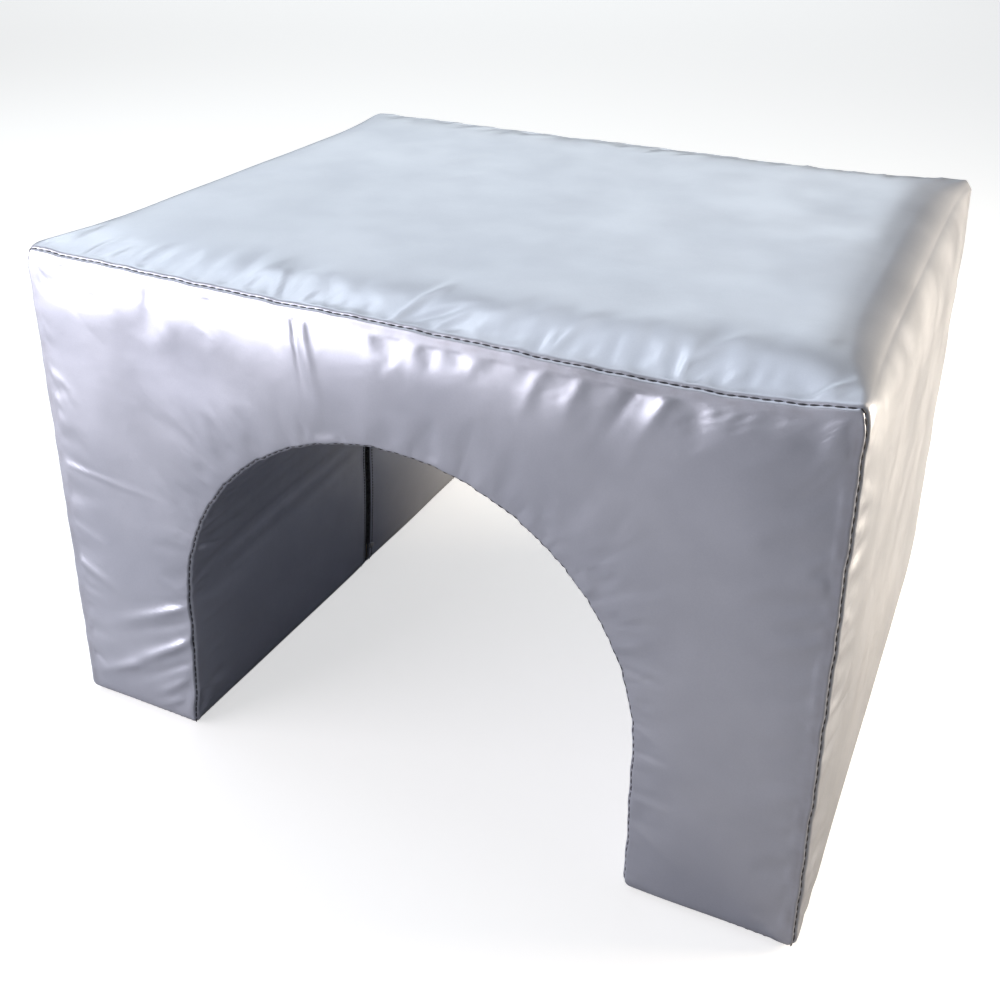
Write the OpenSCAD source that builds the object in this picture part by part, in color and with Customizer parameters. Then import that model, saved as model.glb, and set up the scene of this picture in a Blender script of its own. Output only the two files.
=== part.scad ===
// Padded play arch: a foam block with a round-headed tunnel through it, in a sewn and zipped vinyl cover.
// X runs across the tunnel, Y along it from the front face (-Y) to the back face (+Y), Z up from the floor.
// The origin is on the floor, at the centre of the block.

/* [Block] */
// Width of the block across the tunnel
block_w = 600; // [480:10:720]
// Depth of the block along the tunnel
block_d = 500; // [300:10:900]
// Height of the block
block_h = 400; // [340:10:600]
// Radius of the two long top edges
corner_r = 6; // [4:1:40]

/* [Arch] */
// Width of each leg
leg_w = 120; // [80:5:180]
// Thickness left over the crown of the tunnel
crown_t = 100; // [60:5:150]

/* [Cover] */
// Thickness of the coated fabric
vinyl_t = 1; // [0.8:0.1:1.5]
// Width of the edges turned in behind each seam
allowance_w = 10; // [6:1:15]
// How much further than the fabric's thickness each panel stops short of a seam's corner
valley_extra = 0.2; // [0.1:0.1:0.8]
// Thickness of the sewing thread
thread_t = 0.9; // [0.5:0.1:1.2]

/* [Zip] */
// How far behind the middle of the tunnel the zip runs
zip_offset = 15; // [-60:5:60]
// Clearance between the slider and the folded lining edges on each side of it
gap_clear = 0.4; // [0.2:0.1:3]
// Width of lining folded back under each side of the zip
fold_w = 12; // [8:1:20]
// Width of the closed zip across both tapes
tape_w = 30; // [24:1:36]
// Thickness of the woven tape
tape_t = 0.6; // [0.4:0.1:1]
// Slit between the two tapes and between the two coils
zip_slit = 1.4; // [1.2:0.1:2]
// Width of one coil
coil_w = 2.2; // [1.8:0.1:3]
// Height of the coils above the tape
coil_h = 2.4; // [1.8:0.1:2.6]
// Height of the lower end of the zip above the floor
zip_start = 24; // [10:1:30]
// Length of each metal stop along the zip
stop_l = 3; // [2:0.5:4]
// Length of bare tape past the top stops
tape_tail = 25; // [10:1:28]
// Length of the zip opening past the top stops
gap_tail = 6; // [3:1:12]
// Distance of the topstitching from each folded edge
topstitch_in = 3; // [2:0.5:5]

/* [Slider] */
// Length of the slider along the zip
slider_l = 13; // [11:0.5:15]
// Radius of the slider's corners
plate_r = 1.8; // [1:0.1:2.4]
// Thickness of the slider's two plates
plate_t = 1.3; // [0.9:0.1:1.6]
// Thickness of the slider's side walls
wall_t = 0.9; // [0.6:0.05:1.2]
// Clearance of the wedge in the slit
wedge_clear = 0.2; // [0.1:0.05:0.3]
// Length of the wedge
wedge_l = 5; // [3:0.5:6]
// Clearance round the coils and the tape
slide_clear = 0.3; // [0.2:0.05:0.5]
// Width of the bridge that holds the pull tab
bridge_w = 2; // [1.5:0.1:2.2]
// Thickness of the bridge
bridge_t = 1.3; // [1:0.1:1.6]
// Distance of the bridge's feet from the slider's ends
bridge_in = 1.4; // [0.8:0.1:2]

/* [Pull tab] */
// Thickness of the pull tab
tab_t = 1.4; // [1:0.1:1.6]
// Diameter of the pull tab's pin
tab_pin_d = 1.5; // [1.2:0.1:1.6]
// Length of the pull tab from its pin to its tip
tab_l = 26; // [20:1:28]
// Width of the pull tab
tab_w = 6.4; // [5.6:0.2:8]
// Clearance of the tab's slot on each side of the bridge
slot_side_clear = 0.5; // [0.3:0.05:0.8]
// Clearance of the tab's slot past the end of the bridge
slot_end_clear = 0.9; // [0.6:0.1:2]
// Clearance of the pin in the bridge
pin_clear = 0.25; // [0.15:0.05:0.4]

/* [Hidden] */
$fn = 96;
cut = 1;
cover_t = 2 * vinyl_t;
seam_valley = vinyl_t + valley_extra;
thread_in = seam_valley - thread_t;
arch_r = block_w / 2 - leg_w;
spring_h = block_h - crown_t - arch_r;
half_d = block_d / 2;
seam_y = half_d - seam_valley;
leg_x = arch_r + leg_w / 2;
// distances from the tunnel's surface, outwards into the block
tape_out = cover_t + tape_t;
coil_top = cover_t - coil_h;
rear_plate_in = tape_out + slide_clear;
dent_out = rear_plate_in + plate_t + slide_clear;
// places along the zip
row_end = spring_h - slider_l / 2 - slide_clear;
stop_end = row_end - stop_l;
gap_end = stop_end - gap_tail;
tape_end = stop_end - tape_tail;
row_start = zip_start + stop_l;
coil_out = zip_slit / 2 + coil_w;
wall_in = coil_out + slide_clear;
slider_w = 2 * (wall_in + wall_t);
zip_gap = slider_w + 2 * gap_clear;
wedge_t = zip_slit - 2 * wedge_clear;
bridge_l = slider_l - 2 * bridge_in;
tab_slot_w = bridge_w + 2 * slot_side_clear;
tab_slot_l = bridge_l / 2 + slot_end_clear;
// the slider stands on the right-hand wall, and its faces are flat across the curve
sagitta = arch_r - sqrt(pow(arch_r, 2) - pow(slider_l / 2, 2));
front_plate_x = arch_r + coil_top - slide_clear - sagitta;
rear_plate_x = arch_r + rear_plate_in;
wall_end_x = arch_r + cover_t - slide_clear - sagitta;
plate_face_x = front_plate_x - plate_t;
pin_x = plate_face_x - tab_pin_d / 2 - pin_clear;
bridge_under_x = pin_x - tab_pin_d / 2 - pin_clear;

// ---- outlines in the XZ plane, each drawn "inset" into the block from its surface ----

module block_outline(inset) {
    half_w = block_w / 2 - inset;
    round_r = max(corner_r - inset, 0.5);
    top = block_h - inset;
    translate([-half_w, inset]) square([2 * half_w, top - round_r - inset]);
    translate([-half_w + round_r, inset]) square([2 * (half_w - round_r), top - inset]);
    for (side = [-1, 1]) translate([side * (half_w - round_r), top - round_r]) circle(round_r);
}

module arch_outline(inset) {
    r = arch_r + inset;
    translate([-r, -cut]) square([2 * r, spring_h + cut]);
    intersection() {
        translate([0, spring_h]) circle(r);
        translate([-r, spring_h - cut]) square([2 * r, r + 2 * cut]);
    }
}

module face_outline(inset) {
    difference() {
        block_outline(inset);
        arch_outline(inset);
    }
}

// the part of the block's outer skin between two insets, open at the feet
module outer_band(from, to, foot) {
    difference() {
        block_outline(from);
        block_outline(to);
        translate([-block_w, -cut]) square([2 * block_w, foot + cut]);
    }
}

// the part of the tunnel's skin between two insets, from a height above the floor
module arch_band(from, to, foot) {
    difference() {
        arch_outline(to);
        arch_outline(from);
        translate([-block_w, -2 * cut]) square([2 * block_w, foot + 2 * cut]);
    }
}

// the same skin, with the right-hand leg cut off below a height of its own
module zip_band(from, to, left_foot, right_foot) {
    difference() {
        arch_band(from, to, left_foot);
        translate([0, -cut]) square([block_w, right_foot + cut]);
    }
}

// the right-hand leg's share of that skin, up to a height
module right_leg_band(from, to, foot, top) {
    translate([arch_r + from, foot]) square([to - from, top - foot]);
}

module along_y(from, to) {
    translate([0, to, 0]) rotate([90, 0, 0]) linear_extrude(to - from) children();
}

module to_back() {
    mirror([0, 1, 0]) children();
}

module to_left() {
    mirror([1, 0, 0]) children();
}

// ---- foam ----

module foam_core() {
    color("lightyellow") difference() {
        along_y(-half_d + cover_t, half_d - cover_t) face_outline(cover_t);
        along_y(zip_offset - tape_w / 2 - cut, zip_offset + tape_w / 2 + cut)
            zip_band(0, dent_out, -cut, tape_end - cut);
    }
}

// ---- cover ----

module end_panel() {
    along_y(-half_d, -half_d + vinyl_t) face_outline(seam_valley);
    along_y(-half_d + vinyl_t, -half_d + cover_t) difference() {
        face_outline(cover_t);
        face_outline(cover_t + allowance_w);
    }
}

module strip_end_allowance() {
    along_y(-seam_y, -seam_y + allowance_w) outer_band(vinyl_t, cover_t, cover_t);
}

module strip_foot_allowance() {
    translate([block_w / 2 - cover_t, -seam_y, cover_t]) cube([vinyl_t, 2 * seam_y, allowance_w]);
}

module outer_strip() {
    color("lightsteelblue") {
        along_y(-seam_y, seam_y) outer_band(0, vinyl_t, seam_valley);
        strip_end_allowance();
        to_back() strip_end_allowance();
        strip_foot_allowance();
        to_left() strip_foot_allowance();
    }
}

module lining_foot_allowance() {
    right_leg_band(vinyl_t, cover_t, cover_t, cover_t + allowance_w);
    to_left() right_leg_band(vinyl_t, cover_t, cover_t, cover_t + allowance_w);
}

// the half of the lining in front of the zip, whose middle is at zip_y
module lining_half(zip_y) {
    gap_y = zip_y - zip_gap / 2;
    join_y = zip_y - seam_valley / 2;
    along_y(-seam_y, gap_y) arch_band(0, vinyl_t, seam_valley);
    along_y(-seam_y, -seam_y + allowance_w) arch_band(vinyl_t, cover_t, cover_t);
    along_y(gap_y - fold_w, gap_y) zip_band(vinyl_t, cover_t, cover_t, gap_end);
    along_y(gap_y, join_y) right_leg_band(0, vinyl_t, seam_valley, gap_end);
    along_y(join_y - fold_w, join_y) right_leg_band(vinyl_t, cover_t, cover_t, gap_end);
    along_y(-seam_y, gap_y) lining_foot_allowance();
}

module base_panel() {
    inset_w = leg_w - 2 * seam_valley;
    hem_w = leg_w - 2 * cover_t;
    hem_d = block_d - 2 * cover_t;
    translate([leg_x - inset_w / 2, -seam_y, 0]) cube([inset_w, 2 * seam_y, vinyl_t]);
    translate([leg_x - hem_w / 2, -hem_d / 2, vinyl_t]) difference() {
        cube([hem_w, hem_d, vinyl_t]);
        translate([allowance_w, allowance_w, -cut])
            cube([hem_w - 2 * allowance_w, hem_d - 2 * allowance_w, vinyl_t + 2 * cut]);
    }
}

module front_panel() { color("lightsteelblue") end_panel(); }
module back_panel() { color("lightsteelblue") to_back() end_panel(); }
module front_lining() { color("slategray") lining_half(zip_offset); }
module back_lining() { color("slategray") to_back() lining_half(-zip_offset); }
module right_base_panel() { color("silver") base_panel(); }
module left_base_panel() { color("silver") to_left() base_panel(); }

// ---- sewing thread, lying in the valleys between the panels ----

module edge_thread() {
    along_y(-half_d + thread_in, -seam_y) outer_band(thread_in, seam_valley, seam_valley);
}

module arch_thread() {
    along_y(-half_d + thread_in, -seam_y) arch_band(thread_in, seam_valley, seam_valley);
}

module foot_outline(inset) {
    translate([leg_x, 0]) square([leg_w - 2 * inset, block_d - 2 * inset], center = true);
}

module base_thread() {
    translate([0, 0, thread_in]) linear_extrude(thread_t) difference() {
        foot_outline(thread_in);
        foot_outline(seam_valley);
    }
}

module front_edge_thread() { color("darkslategray") edge_thread(); }
module back_edge_thread() { color("darkslategray") to_back() edge_thread(); }
module front_arch_thread() { color("darkslategray") arch_thread(); }
module back_arch_thread() { color("darkslategray") to_back() arch_thread(); }
module right_base_thread() { color("darkslategray") base_thread(); }
module left_base_thread() { color("darkslategray") to_left() base_thread(); }

module zip_topstitching() {
    stitch_y = zip_gap / 2 + topstitch_in;
    color("darkslategray") for (y = [zip_offset - stitch_y, zip_offset + stitch_y])
        along_y(y - thread_t / 2, y + thread_t / 2) zip_band(-thread_t / 2, 0, seam_valley, gap_end);
}

module lining_seam_thread() {
    color("darkslategray") along_y(zip_offset - seam_valley / 2, zip_offset + seam_valley / 2)
        right_leg_band(thread_in, seam_valley, seam_valley, gap_end);
}

// ---- zip ----

module beside_slit(side, width) {
    near = zip_offset + side * zip_slit / 2;
    far = near + side * width;
    along_y(min(near, far), max(near, far)) children();
}

module zip_tape(side) {
    color("black") beside_slit(side, (tape_w - zip_slit) / 2)
        zip_band(cover_t, tape_out, cover_t, tape_end);
}

module zip_coil(side) {
    color("dimgray") beside_slit(side, coil_w) zip_band(coil_top, cover_t, row_start, row_end);
}

module front_zip_tape() { zip_tape(-1); }
module back_zip_tape() { zip_tape(1); }
module front_zip_coil() { zip_coil(-1); }
module back_zip_coil() { zip_coil(1); }

module top_stops() {
    color("silver") for (side = [-1, 1])
        beside_slit(side, coil_w) right_leg_band(coil_top, cover_t, stop_end, row_end);
}

module bottom_stop() {
    color("silver") along_y(zip_offset - coil_out, zip_offset + coil_out)
        to_left() right_leg_band(coil_top, cover_t, zip_start, row_start);
}

// ---- slider, parked at the closed end of the zip on the right-hand wall ----

// an outline in the YZ plane with rounded corners
module rounded_plate(w, l, r) {
    translate([-w / 2 + r, -l / 2]) square([w - 2 * r, l]);
    translate([-w / 2, -l / 2 + r]) square([w, l - 2 * r]);
    for (a = [-1, 1]) for (b = [-1, 1]) translate([a * (w / 2 - r), b * (l / 2 - r)]) circle(r);
}

// stands an outline up against the right-hand wall, from one X to another
module along_x(from, to) {
    translate([from, zip_offset, spring_h]) rotate([90, 0, 90]) linear_extrude(to - from) children();
}

module zip_slider() {
    wall_l = slider_l - 2 * plate_r;
    foot_y = (bridge_l - bridge_t) / 2;
    color("silver") {
        along_x(plate_face_x, front_plate_x) rounded_plate(slider_w, slider_l, plate_r);
        along_x(rear_plate_x, rear_plate_x + plate_t) rounded_plate(slider_w, slider_l, plate_r);
        along_x(front_plate_x, wall_end_x) for (side = [-1, 1])
            translate([side * (wall_in + wall_t / 2), 0]) square([wall_t, wall_l], center = true);
        along_x(front_plate_x, rear_plate_x)
            translate([-wedge_t / 2, -slider_l / 2]) square([wedge_t, wedge_l]);
        along_x(bridge_under_x - bridge_t, bridge_under_x) square([bridge_w, bridge_l], center = true);
        along_x(bridge_under_x, plate_face_x) for (side = [-1, 1])
            translate([0, side * foot_y]) square([bridge_w, bridge_t], center = true);
    }
}

module zip_pull_tab() {
    end_r = tab_w / 2;
    color("silver") {
        translate([pin_x, zip_offset, spring_h]) rotate([90, 0, 0])
            cylinder(d = tab_pin_d, h = tab_w, center = true);
        along_x(pin_x - tab_t / 2, pin_x + tab_t / 2) difference() {
            union() {
                translate([-tab_w / 2, -tab_l + end_r]) square([tab_w, tab_l - end_r]);
                translate([0, -tab_l + end_r]) circle(end_r);
            }
            translate([-tab_slot_w / 2, -tab_slot_l]) square([tab_slot_w, tab_slot_l + cut]);
        }
    }
}

foam_core();
front_panel();
back_panel();
outer_strip();
front_lining();
back_lining();
left_base_panel();
right_base_panel();
front_edge_thread();
back_edge_thread();
front_arch_thread();
back_arch_thread();
left_base_thread();
right_base_thread();
front_zip_tape();
back_zip_tape();
front_zip_coil();
back_zip_coil();
zip_topstitching();
lining_seam_thread();
top_stops();
bottom_stop();
zip_slider();
zip_pull_tab();
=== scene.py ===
"""A padded play arch: a foam block with a round-headed tunnel, in a sewn and zipped cover of pearl vinyl.

Lengths are metres, written as millimetres times MM where a maker would say millimetres. X runs across
the tunnel, Y from the front face to the back, Z up from the floor.
"""

import logging
import math
from dataclasses import dataclass, field
from enum import Enum

import bmesh
import bpy
import numpy as np
from bpy.types import Material, Mesh, Node, NodeSocket, NodeTree, Object
from mathutils import Matrix, Vector


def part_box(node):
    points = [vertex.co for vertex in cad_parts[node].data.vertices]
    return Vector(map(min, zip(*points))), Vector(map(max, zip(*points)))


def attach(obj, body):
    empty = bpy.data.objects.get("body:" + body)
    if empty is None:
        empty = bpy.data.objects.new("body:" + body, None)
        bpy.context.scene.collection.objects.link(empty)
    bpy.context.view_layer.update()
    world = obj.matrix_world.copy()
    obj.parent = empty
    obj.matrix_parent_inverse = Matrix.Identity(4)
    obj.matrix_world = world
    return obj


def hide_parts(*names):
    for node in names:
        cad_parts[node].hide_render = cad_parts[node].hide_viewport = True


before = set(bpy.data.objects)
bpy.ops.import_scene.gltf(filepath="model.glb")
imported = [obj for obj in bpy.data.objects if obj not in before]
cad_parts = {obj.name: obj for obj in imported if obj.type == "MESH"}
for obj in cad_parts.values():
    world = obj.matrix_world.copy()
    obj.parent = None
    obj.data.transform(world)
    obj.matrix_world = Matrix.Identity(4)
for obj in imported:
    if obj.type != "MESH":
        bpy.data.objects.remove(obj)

MM = 0.001
Array = np.ndarray
BODY = "padded_block"
LOG = logging.getLogger("play_arch")
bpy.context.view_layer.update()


# ---- small helpers


def smoothstep(low: float, high: float, x: Array) -> Array:
    """Returns 0 below low, 1 above high and an even S-curve between."""
    t = np.clip((x - low) / (high - low), 0.0, 1.0)
    return t * t * (3.0 - 2.0 * t)


def hermite(x_new: Array, x: Array, values: Array) -> Array:
    """Resamples values along their first axis with a smooth cubic.

    Args:
        x_new: Places to read at.
        x: Rising places where the values are known.
        values: Array whose first axis follows x.

    Returns:
        The values at x_new.
    """
    slope = np.gradient(values, x, axis=0)
    i = np.clip(np.searchsorted(x, x_new) - 1, 0, len(x) - 2)
    step = x[i + 1] - x[i]
    t = np.clip((x_new - x[i]) / step, 0.0, 1.0)
    shape = (-1,) + (1,) * (values.ndim - 1)
    t, step = t.reshape(shape), step.reshape(shape)
    return (
        (2 * t**3 - 3 * t**2 + 1) * values[i]
        + (t**3 - 2 * t**2 + t) * step * slope[i]
        + (3 * t**2 - 2 * t**3) * values[i + 1]
        + (t**3 - t**2) * step * slope[i + 1]
    )


def grid_normals(points: Array) -> Array:
    """Returns the unit normals of a grid of points, first axis crossed with second."""
    normal = np.cross(np.gradient(points, axis=0), np.gradient(points, axis=1))
    return normal / np.maximum(np.linalg.norm(normal, axis=2, keepdims=True), 1e-12)


def in_space(xz: Array, y: Array | float) -> Array:
    """Returns places or directions of an outline, as X and Z, with their depth put between."""
    return np.stack([xz[..., 0], np.broadcast_to(y, xz.shape[:-1]), xz[..., 1]], axis=-1)


def link(name: str, mesh: Mesh) -> Object:
    """Returns a new object for a mesh, linked to the scene at the origin.

    Args:
        name: Name of the object.
        mesh: Its mesh.

    Returns:
        The object.
    """
    piece = bpy.data.objects.new(name, mesh)
    bpy.context.scene.collection.objects.link(piece)
    return piece


def mesh_from_arrays(name: str, points: Array, quads: Array) -> Mesh:
    """Makes a smooth mesh of quads.

    Args:
        name: Name of the mesh.
        points: Array of shape (n, 3).
        quads: Array of shape (m, 4) of indices.

    Returns:
        The mesh.
    """
    mesh = bpy.data.meshes.new(name)
    mesh.vertices.add(len(points))
    mesh.vertices.foreach_set("co", points.astype(np.float32).ravel())
    mesh.loops.add(quads.size)
    mesh.loops.foreach_set("vertex_index", quads.astype(np.int32).ravel())
    mesh.polygons.add(len(quads))
    mesh.polygons.foreach_set("loop_start", np.arange(0, quads.size, 4, dtype=np.int32))
    mesh.polygons.foreach_set("use_smooth", np.ones(len(quads), bool))
    mesh.update(calc_edges=True)
    mesh.validate()
    return mesh


def shell_mesh(name: str, outside: Array, thickness: float, flip: bool) -> Mesh:
    """Makes a closed sheet of an even thickness from the grid of its outside face.

    Args:
        name: Name of the mesh.
        outside: Array of shape (n, m, 3).
        thickness: How thick the sheet is, measured inwards.
        flip: True if the grid's normals point inwards.

    Returns:
        The mesh, with its faces outwards.
    """
    normal = grid_normals(outside) * (-1.0 if flip else 1.0)
    inside = outside - normal * thickness
    n, m = outside.shape[:2]
    index = np.arange(n * m).reshape(n, m)
    a, b, c, d = index[:-1, :-1], index[1:, :-1], index[1:, 1:], index[:-1, 1:]
    face = np.stack([a, b, c, d], axis=-1).reshape(-1, 4)
    face = face[:, ::-1] if flip else face
    back = face[:, ::-1] + n * m
    rim = np.concatenate([index[:-1, 0], index[-1, :-1], index[:0:-1, -1], index[0, :0:-1]])
    following = np.roll(rim, -1)
    wall = np.stack([following, rim, rim + n * m, following + n * m], axis=-1)
    wall = wall[:, ::-1] if flip else wall
    quads = np.concatenate([face, back, wall])
    points = np.concatenate([outside.reshape(-1, 3), inside.reshape(-1, 3)])
    return mesh_from_arrays(name, points, quads)


def set_uv(mesh: Mesh, u: Array, v: Array) -> None:
    """Gives a mesh the UV map "cloth" from one pair of values per point.

    Args:
        mesh: The mesh.
        u: First coordinate at each place.
        v: Second coordinate at each place.
    """
    layer = mesh.uv_layers.new(name="cloth")
    index = np.empty(len(mesh.loops), np.int32)
    mesh.loops.foreach_get("vertex_index", index)
    layer.data.foreach_set("uv", np.stack([u[index], v[index]], axis=-1).astype(np.float32).ravel())


def set_float(mesh: Mesh, name: str, values: Array) -> None:
    """Stores one number per point as a named attribute."""
    attribute = mesh.attributes.new(name, "FLOAT", "POINT")
    attribute.data.foreach_set("value", values.astype(np.float32).ravel())


# ---- sizes and outlines


@dataclass(frozen=True)
class BlockSizes:
    """The driving sizes of the block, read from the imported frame."""

    half_w: float
    half_d: float
    height: float
    arch_r: float
    spring_h: float
    zip_y: float
    slit: float

    @classmethod
    def from_frame(cls) -> "BlockSizes":
        """Reads the sizes off the CAD nodes' boxes.

        Returns:
            The sizes.
        """
        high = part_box("outer_strip")[1]
        front_low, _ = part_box("front_panel")
        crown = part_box("front_lining")[1].z - (high.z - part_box("foam_core")[1].z)
        arch_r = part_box("zip_topstitching")[1].x
        front_tape, back_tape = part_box("front_zip_tape")[1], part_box("back_zip_tape")[0]
        return cls(
            half_w=high.x,
            half_d=-front_low.y,
            height=high.z,
            arch_r=arch_r,
            spring_h=crown - arch_r,
            zip_y=(front_tape.y + back_tape.y) / 2,
            slit=back_tape.y - front_tape.y,
        )

    @property
    def path_length(self) -> float:
        """Length of the outer skin from foot to foot, round the square outline."""
        return 2 * (self.height + self.half_w)

    @property
    def leg_x(self) -> float:
        """Distance of each leg's middle from the centre of the block."""
        return (self.half_w + self.arch_r) / 2


@dataclass(frozen=True)
class Outline:
    """The block's outer and inner outlines, both read by the place along the outer skin."""

    sizes: BlockSizes
    end_corner_r: float = 6 * MM
    middle_corner_r: float = 30 * MM
    softening: float = 50 * MM

    def corner_radius(self, y: Array) -> Array:
        """Returns the radius of the long top edges, small at the end seams and soft between them.

        Args:
            y: Places along Y.

        Returns:
            The radius at each place.
        """
        inset = self.sizes.half_d - np.abs(y)
        grown = 1.0 - np.exp(-((np.maximum(inset, 0) / self.softening) ** 1.4))
        return self.end_corner_r + (self.middle_corner_r - self.end_corner_r) * grown

    def outer(self, a: Array, radius: Array) -> tuple[Array, Array]:
        """Finds points on the outer outline.

        Args:
            a: Places along the skin from the left foot, any shape.
            radius: Corner radius at each place, same shape.

        Returns:
            The points and the outward normals, each with a last axis of (x, z).
        """
        s = self.sizes
        side = np.where(a < s.path_length / 2, -1.0, 1.0)
        along = np.minimum(a, s.path_length - a)
        past = along - s.height
        x = np.where(past < 0, s.half_w, s.half_w - past)
        z = np.where(past < 0, along, s.height)
        turn = np.clip((past + radius) / (2 * radius), 0, 1) * math.pi / 2
        in_corner = np.abs(past) < radius
        x = np.where(in_corner, s.half_w - radius + radius * np.cos(turn), x)
        z = np.where(in_corner, s.height - radius + radius * np.sin(turn), z)
        normal = np.stack([side * np.cos(turn), np.sin(turn)], axis=-1)
        return np.stack([side * x, z], axis=-1), normal

    def bearing(self, a: Array) -> Array:
        """Returns the angle round the arch, 0 at and below the springing, that faces each place.

        Args:
            a: Places along the outer skin.

        Returns:
            The angle at each place.
        """
        s = self.sizes
        along = np.minimum(a, s.path_length - a)
        rise = np.clip(along, s.spring_h, s.height) - s.spring_h
        run = s.half_w - np.clip(along - s.height, 0, None)
        return np.arctan2(rise, run)

    def inner(self, a: Array) -> tuple[Array, Array]:
        """Finds the points of the tunnel's outline that face places on the outer skin.

        Args:
            a: Places along the outer skin from the left foot.

        Returns:
            The points and the normals into the foam, each with a last axis of (x, z).
        """
        s = self.sizes
        side = np.where(a < s.path_length / 2, -1.0, 1.0)
        along = np.minimum(a, s.path_length - a)
        angle = self.bearing(a)
        normal = np.stack([side * np.cos(angle), np.sin(angle)], axis=-1)
        centre = np.stack([np.zeros_like(a), np.minimum(along, s.spring_h)], axis=-1)
        return centre + s.arch_r * normal, normal

    def inner_length(self, a: Array) -> Array:
        """Returns the distance along the tunnel's outline, from the left foot, that faces each place.

        Args:
            a: Places along the outer skin.

        Returns:
            The length at each place.
        """
        s = self.sizes
        along = np.minimum(a, s.path_length - a)
        half = s.spring_h + s.arch_r * math.pi / 2
        length = np.minimum(along, s.spring_h) + s.arch_r * self.bearing(a)
        return np.where(a < s.path_length / 2, length, 2 * half - length)


@dataclass(frozen=True)
class SeamRoll:
    """The cross-section of one panel's edge as it rolls over into a seam.

    Attributes:
        radius: Radius of the roll.
        seam_d: How far the seam lies in from the other panel's face.
        seam_h: How far the seam lies in from this panel's own face.
        steps: Number of rows over the roll.
        allowance: Width of the edge turned in past the seam that is modelled.
    """

    radius: float
    seam_d: float
    seam_h: float
    steps: int = 7
    allowance: float = 4 * MM

    @property
    def reach(self) -> float:
        """Distance from the corner at which the face turns flat."""
        return self.seam_d + self.radius * math.sin(self.seam_angle)

    @property
    def seam_angle(self) -> float:
        """Angle that the face has turned through at the seam."""
        return math.acos(1 - self.seam_h / self.radius)

    def rows(self) -> tuple[Array, Array]:
        """Spaces the rows over the roll, seam side first.

        Returns:
            Each row's distance from the corner, and its inset from the face.
        """
        angle = np.linspace(self.seam_angle, 0, self.steps)
        d = self.reach - self.radius * np.sin(angle)
        h = self.radius - self.radius * np.cos(angle)
        turned_in = np.array([1.0, 0.5]) * self.allowance * math.sqrt(0.5)
        d = np.concatenate([self.seam_d + turned_in, d])
        h = np.concatenate([self.seam_h + turned_in, h])
        return d, h


SEAM_ACROSS = 2.4 * MM
SEAM_ALONG = 2.2 * MM
END_ROLL = SeamRoll(radius=1.45 * MM, seam_d=SEAM_ACROSS, seam_h=SEAM_ALONG)
SKIN_ROLL = SeamRoll(radius=2.3 * MM, seam_d=SEAM_ALONG, seam_h=SEAM_ACROSS)


# ---- folds and puckers


@dataclass(frozen=True)
class Fold:
    """A soft ridge in the cover, from where the seam gathers it to where it dies away.

    Attributes:
        start: Place where it begins, in the panel's own flat coordinates.
        end: Place where it dies away.
        width: Half-width of its crest.
        height: Height of its crest, negative for a crease.
    """

    start: tuple[float, float]
    end: tuple[float, float]
    width: float
    height: float

    def raise_on(self, u: Array, v: Array, out: Array) -> None:
        """Adds the ridge to a height field.

        Args:
            u: First flat coordinate of each grid point.
            v: Second flat coordinate of each grid point.
            out: Height field that is added to.
        """
        du, dv = self.end[0] - self.start[0], self.end[1] - self.start[1]
        length = math.hypot(du, dv)
        margin = 4 * self.width
        near = (
            (u > min(self.start[0], self.end[0]) - margin)
            & (u < max(self.start[0], self.end[0]) + margin)
            & (v > min(self.start[1], self.end[1]) - margin)
            & (v < max(self.start[1], self.end[1]) + margin)
        )
        if not near.any():
            return
        pu, pv = u[near] - self.start[0], v[near] - self.start[1]
        t = (pu * du + pv * dv) / length**2
        across = (pu * dv - pv * du) / length
        spread = self.width * (0.75 + 0.6 * np.clip(t, 0, 1))
        crest = np.exp(-np.abs(across / spread) ** 1.6) - 0.32 * np.exp(-((across / spread / 2.1) ** 2))
        fade = smoothstep(-0.12, 0.18, t) * (1 - smoothstep(0.25, 1.05, t))
        out[near] += self.height * crest * fade


@dataclass(frozen=True)
class PuckerRun:
    """Random puckers that a seam gathers along its length.

    Attributes:
        seed: Seed of the run's own random numbers.
        start: Where the run begins along the seam.
        end: Where it ends.
        pitch: Mean distance between puckers.
        length: Shortest and longest pucker.
        width: Narrowest and widest crest half-width.
        height: Lowest and highest crest.
        lean: Furthest that a pucker leans from square to the seam, as a slope.
    """

    seed: int
    start: float
    end: float
    pitch: float = 16 * MM
    length: tuple[float, float] = (14 * MM, 50 * MM)
    width: tuple[float, float] = (2.6 * MM, 5.5 * MM)
    height: tuple[float, float] = (0.3 * MM, 1.1 * MM)
    lean: float = 0.35

    def folds(self) -> list[Fold]:
        """Draws the run's puckers.

        Returns:
            Folds whose coordinates are along the seam and away from it.
        """
        rng = np.random.default_rng(self.seed)
        drawn = []
        at = self.start
        while at < self.end:
            at += self.pitch * rng.uniform(0.45, 1.6)
            reach = self.length[0] + (self.length[1] - self.length[0]) * rng.uniform() ** 2
            lean = rng.uniform(-self.lean, self.lean)
            width = rng.uniform(*self.width)
            height = self.height[0] + (self.height[1] - self.height[0]) * rng.uniform() ** 1.5
            height *= 1.0 if rng.uniform() < 0.72 else -0.7
            drawn.append(Fold((at, 2 * MM), (at + lean * reach, reach), width, height))
        return drawn


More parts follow.
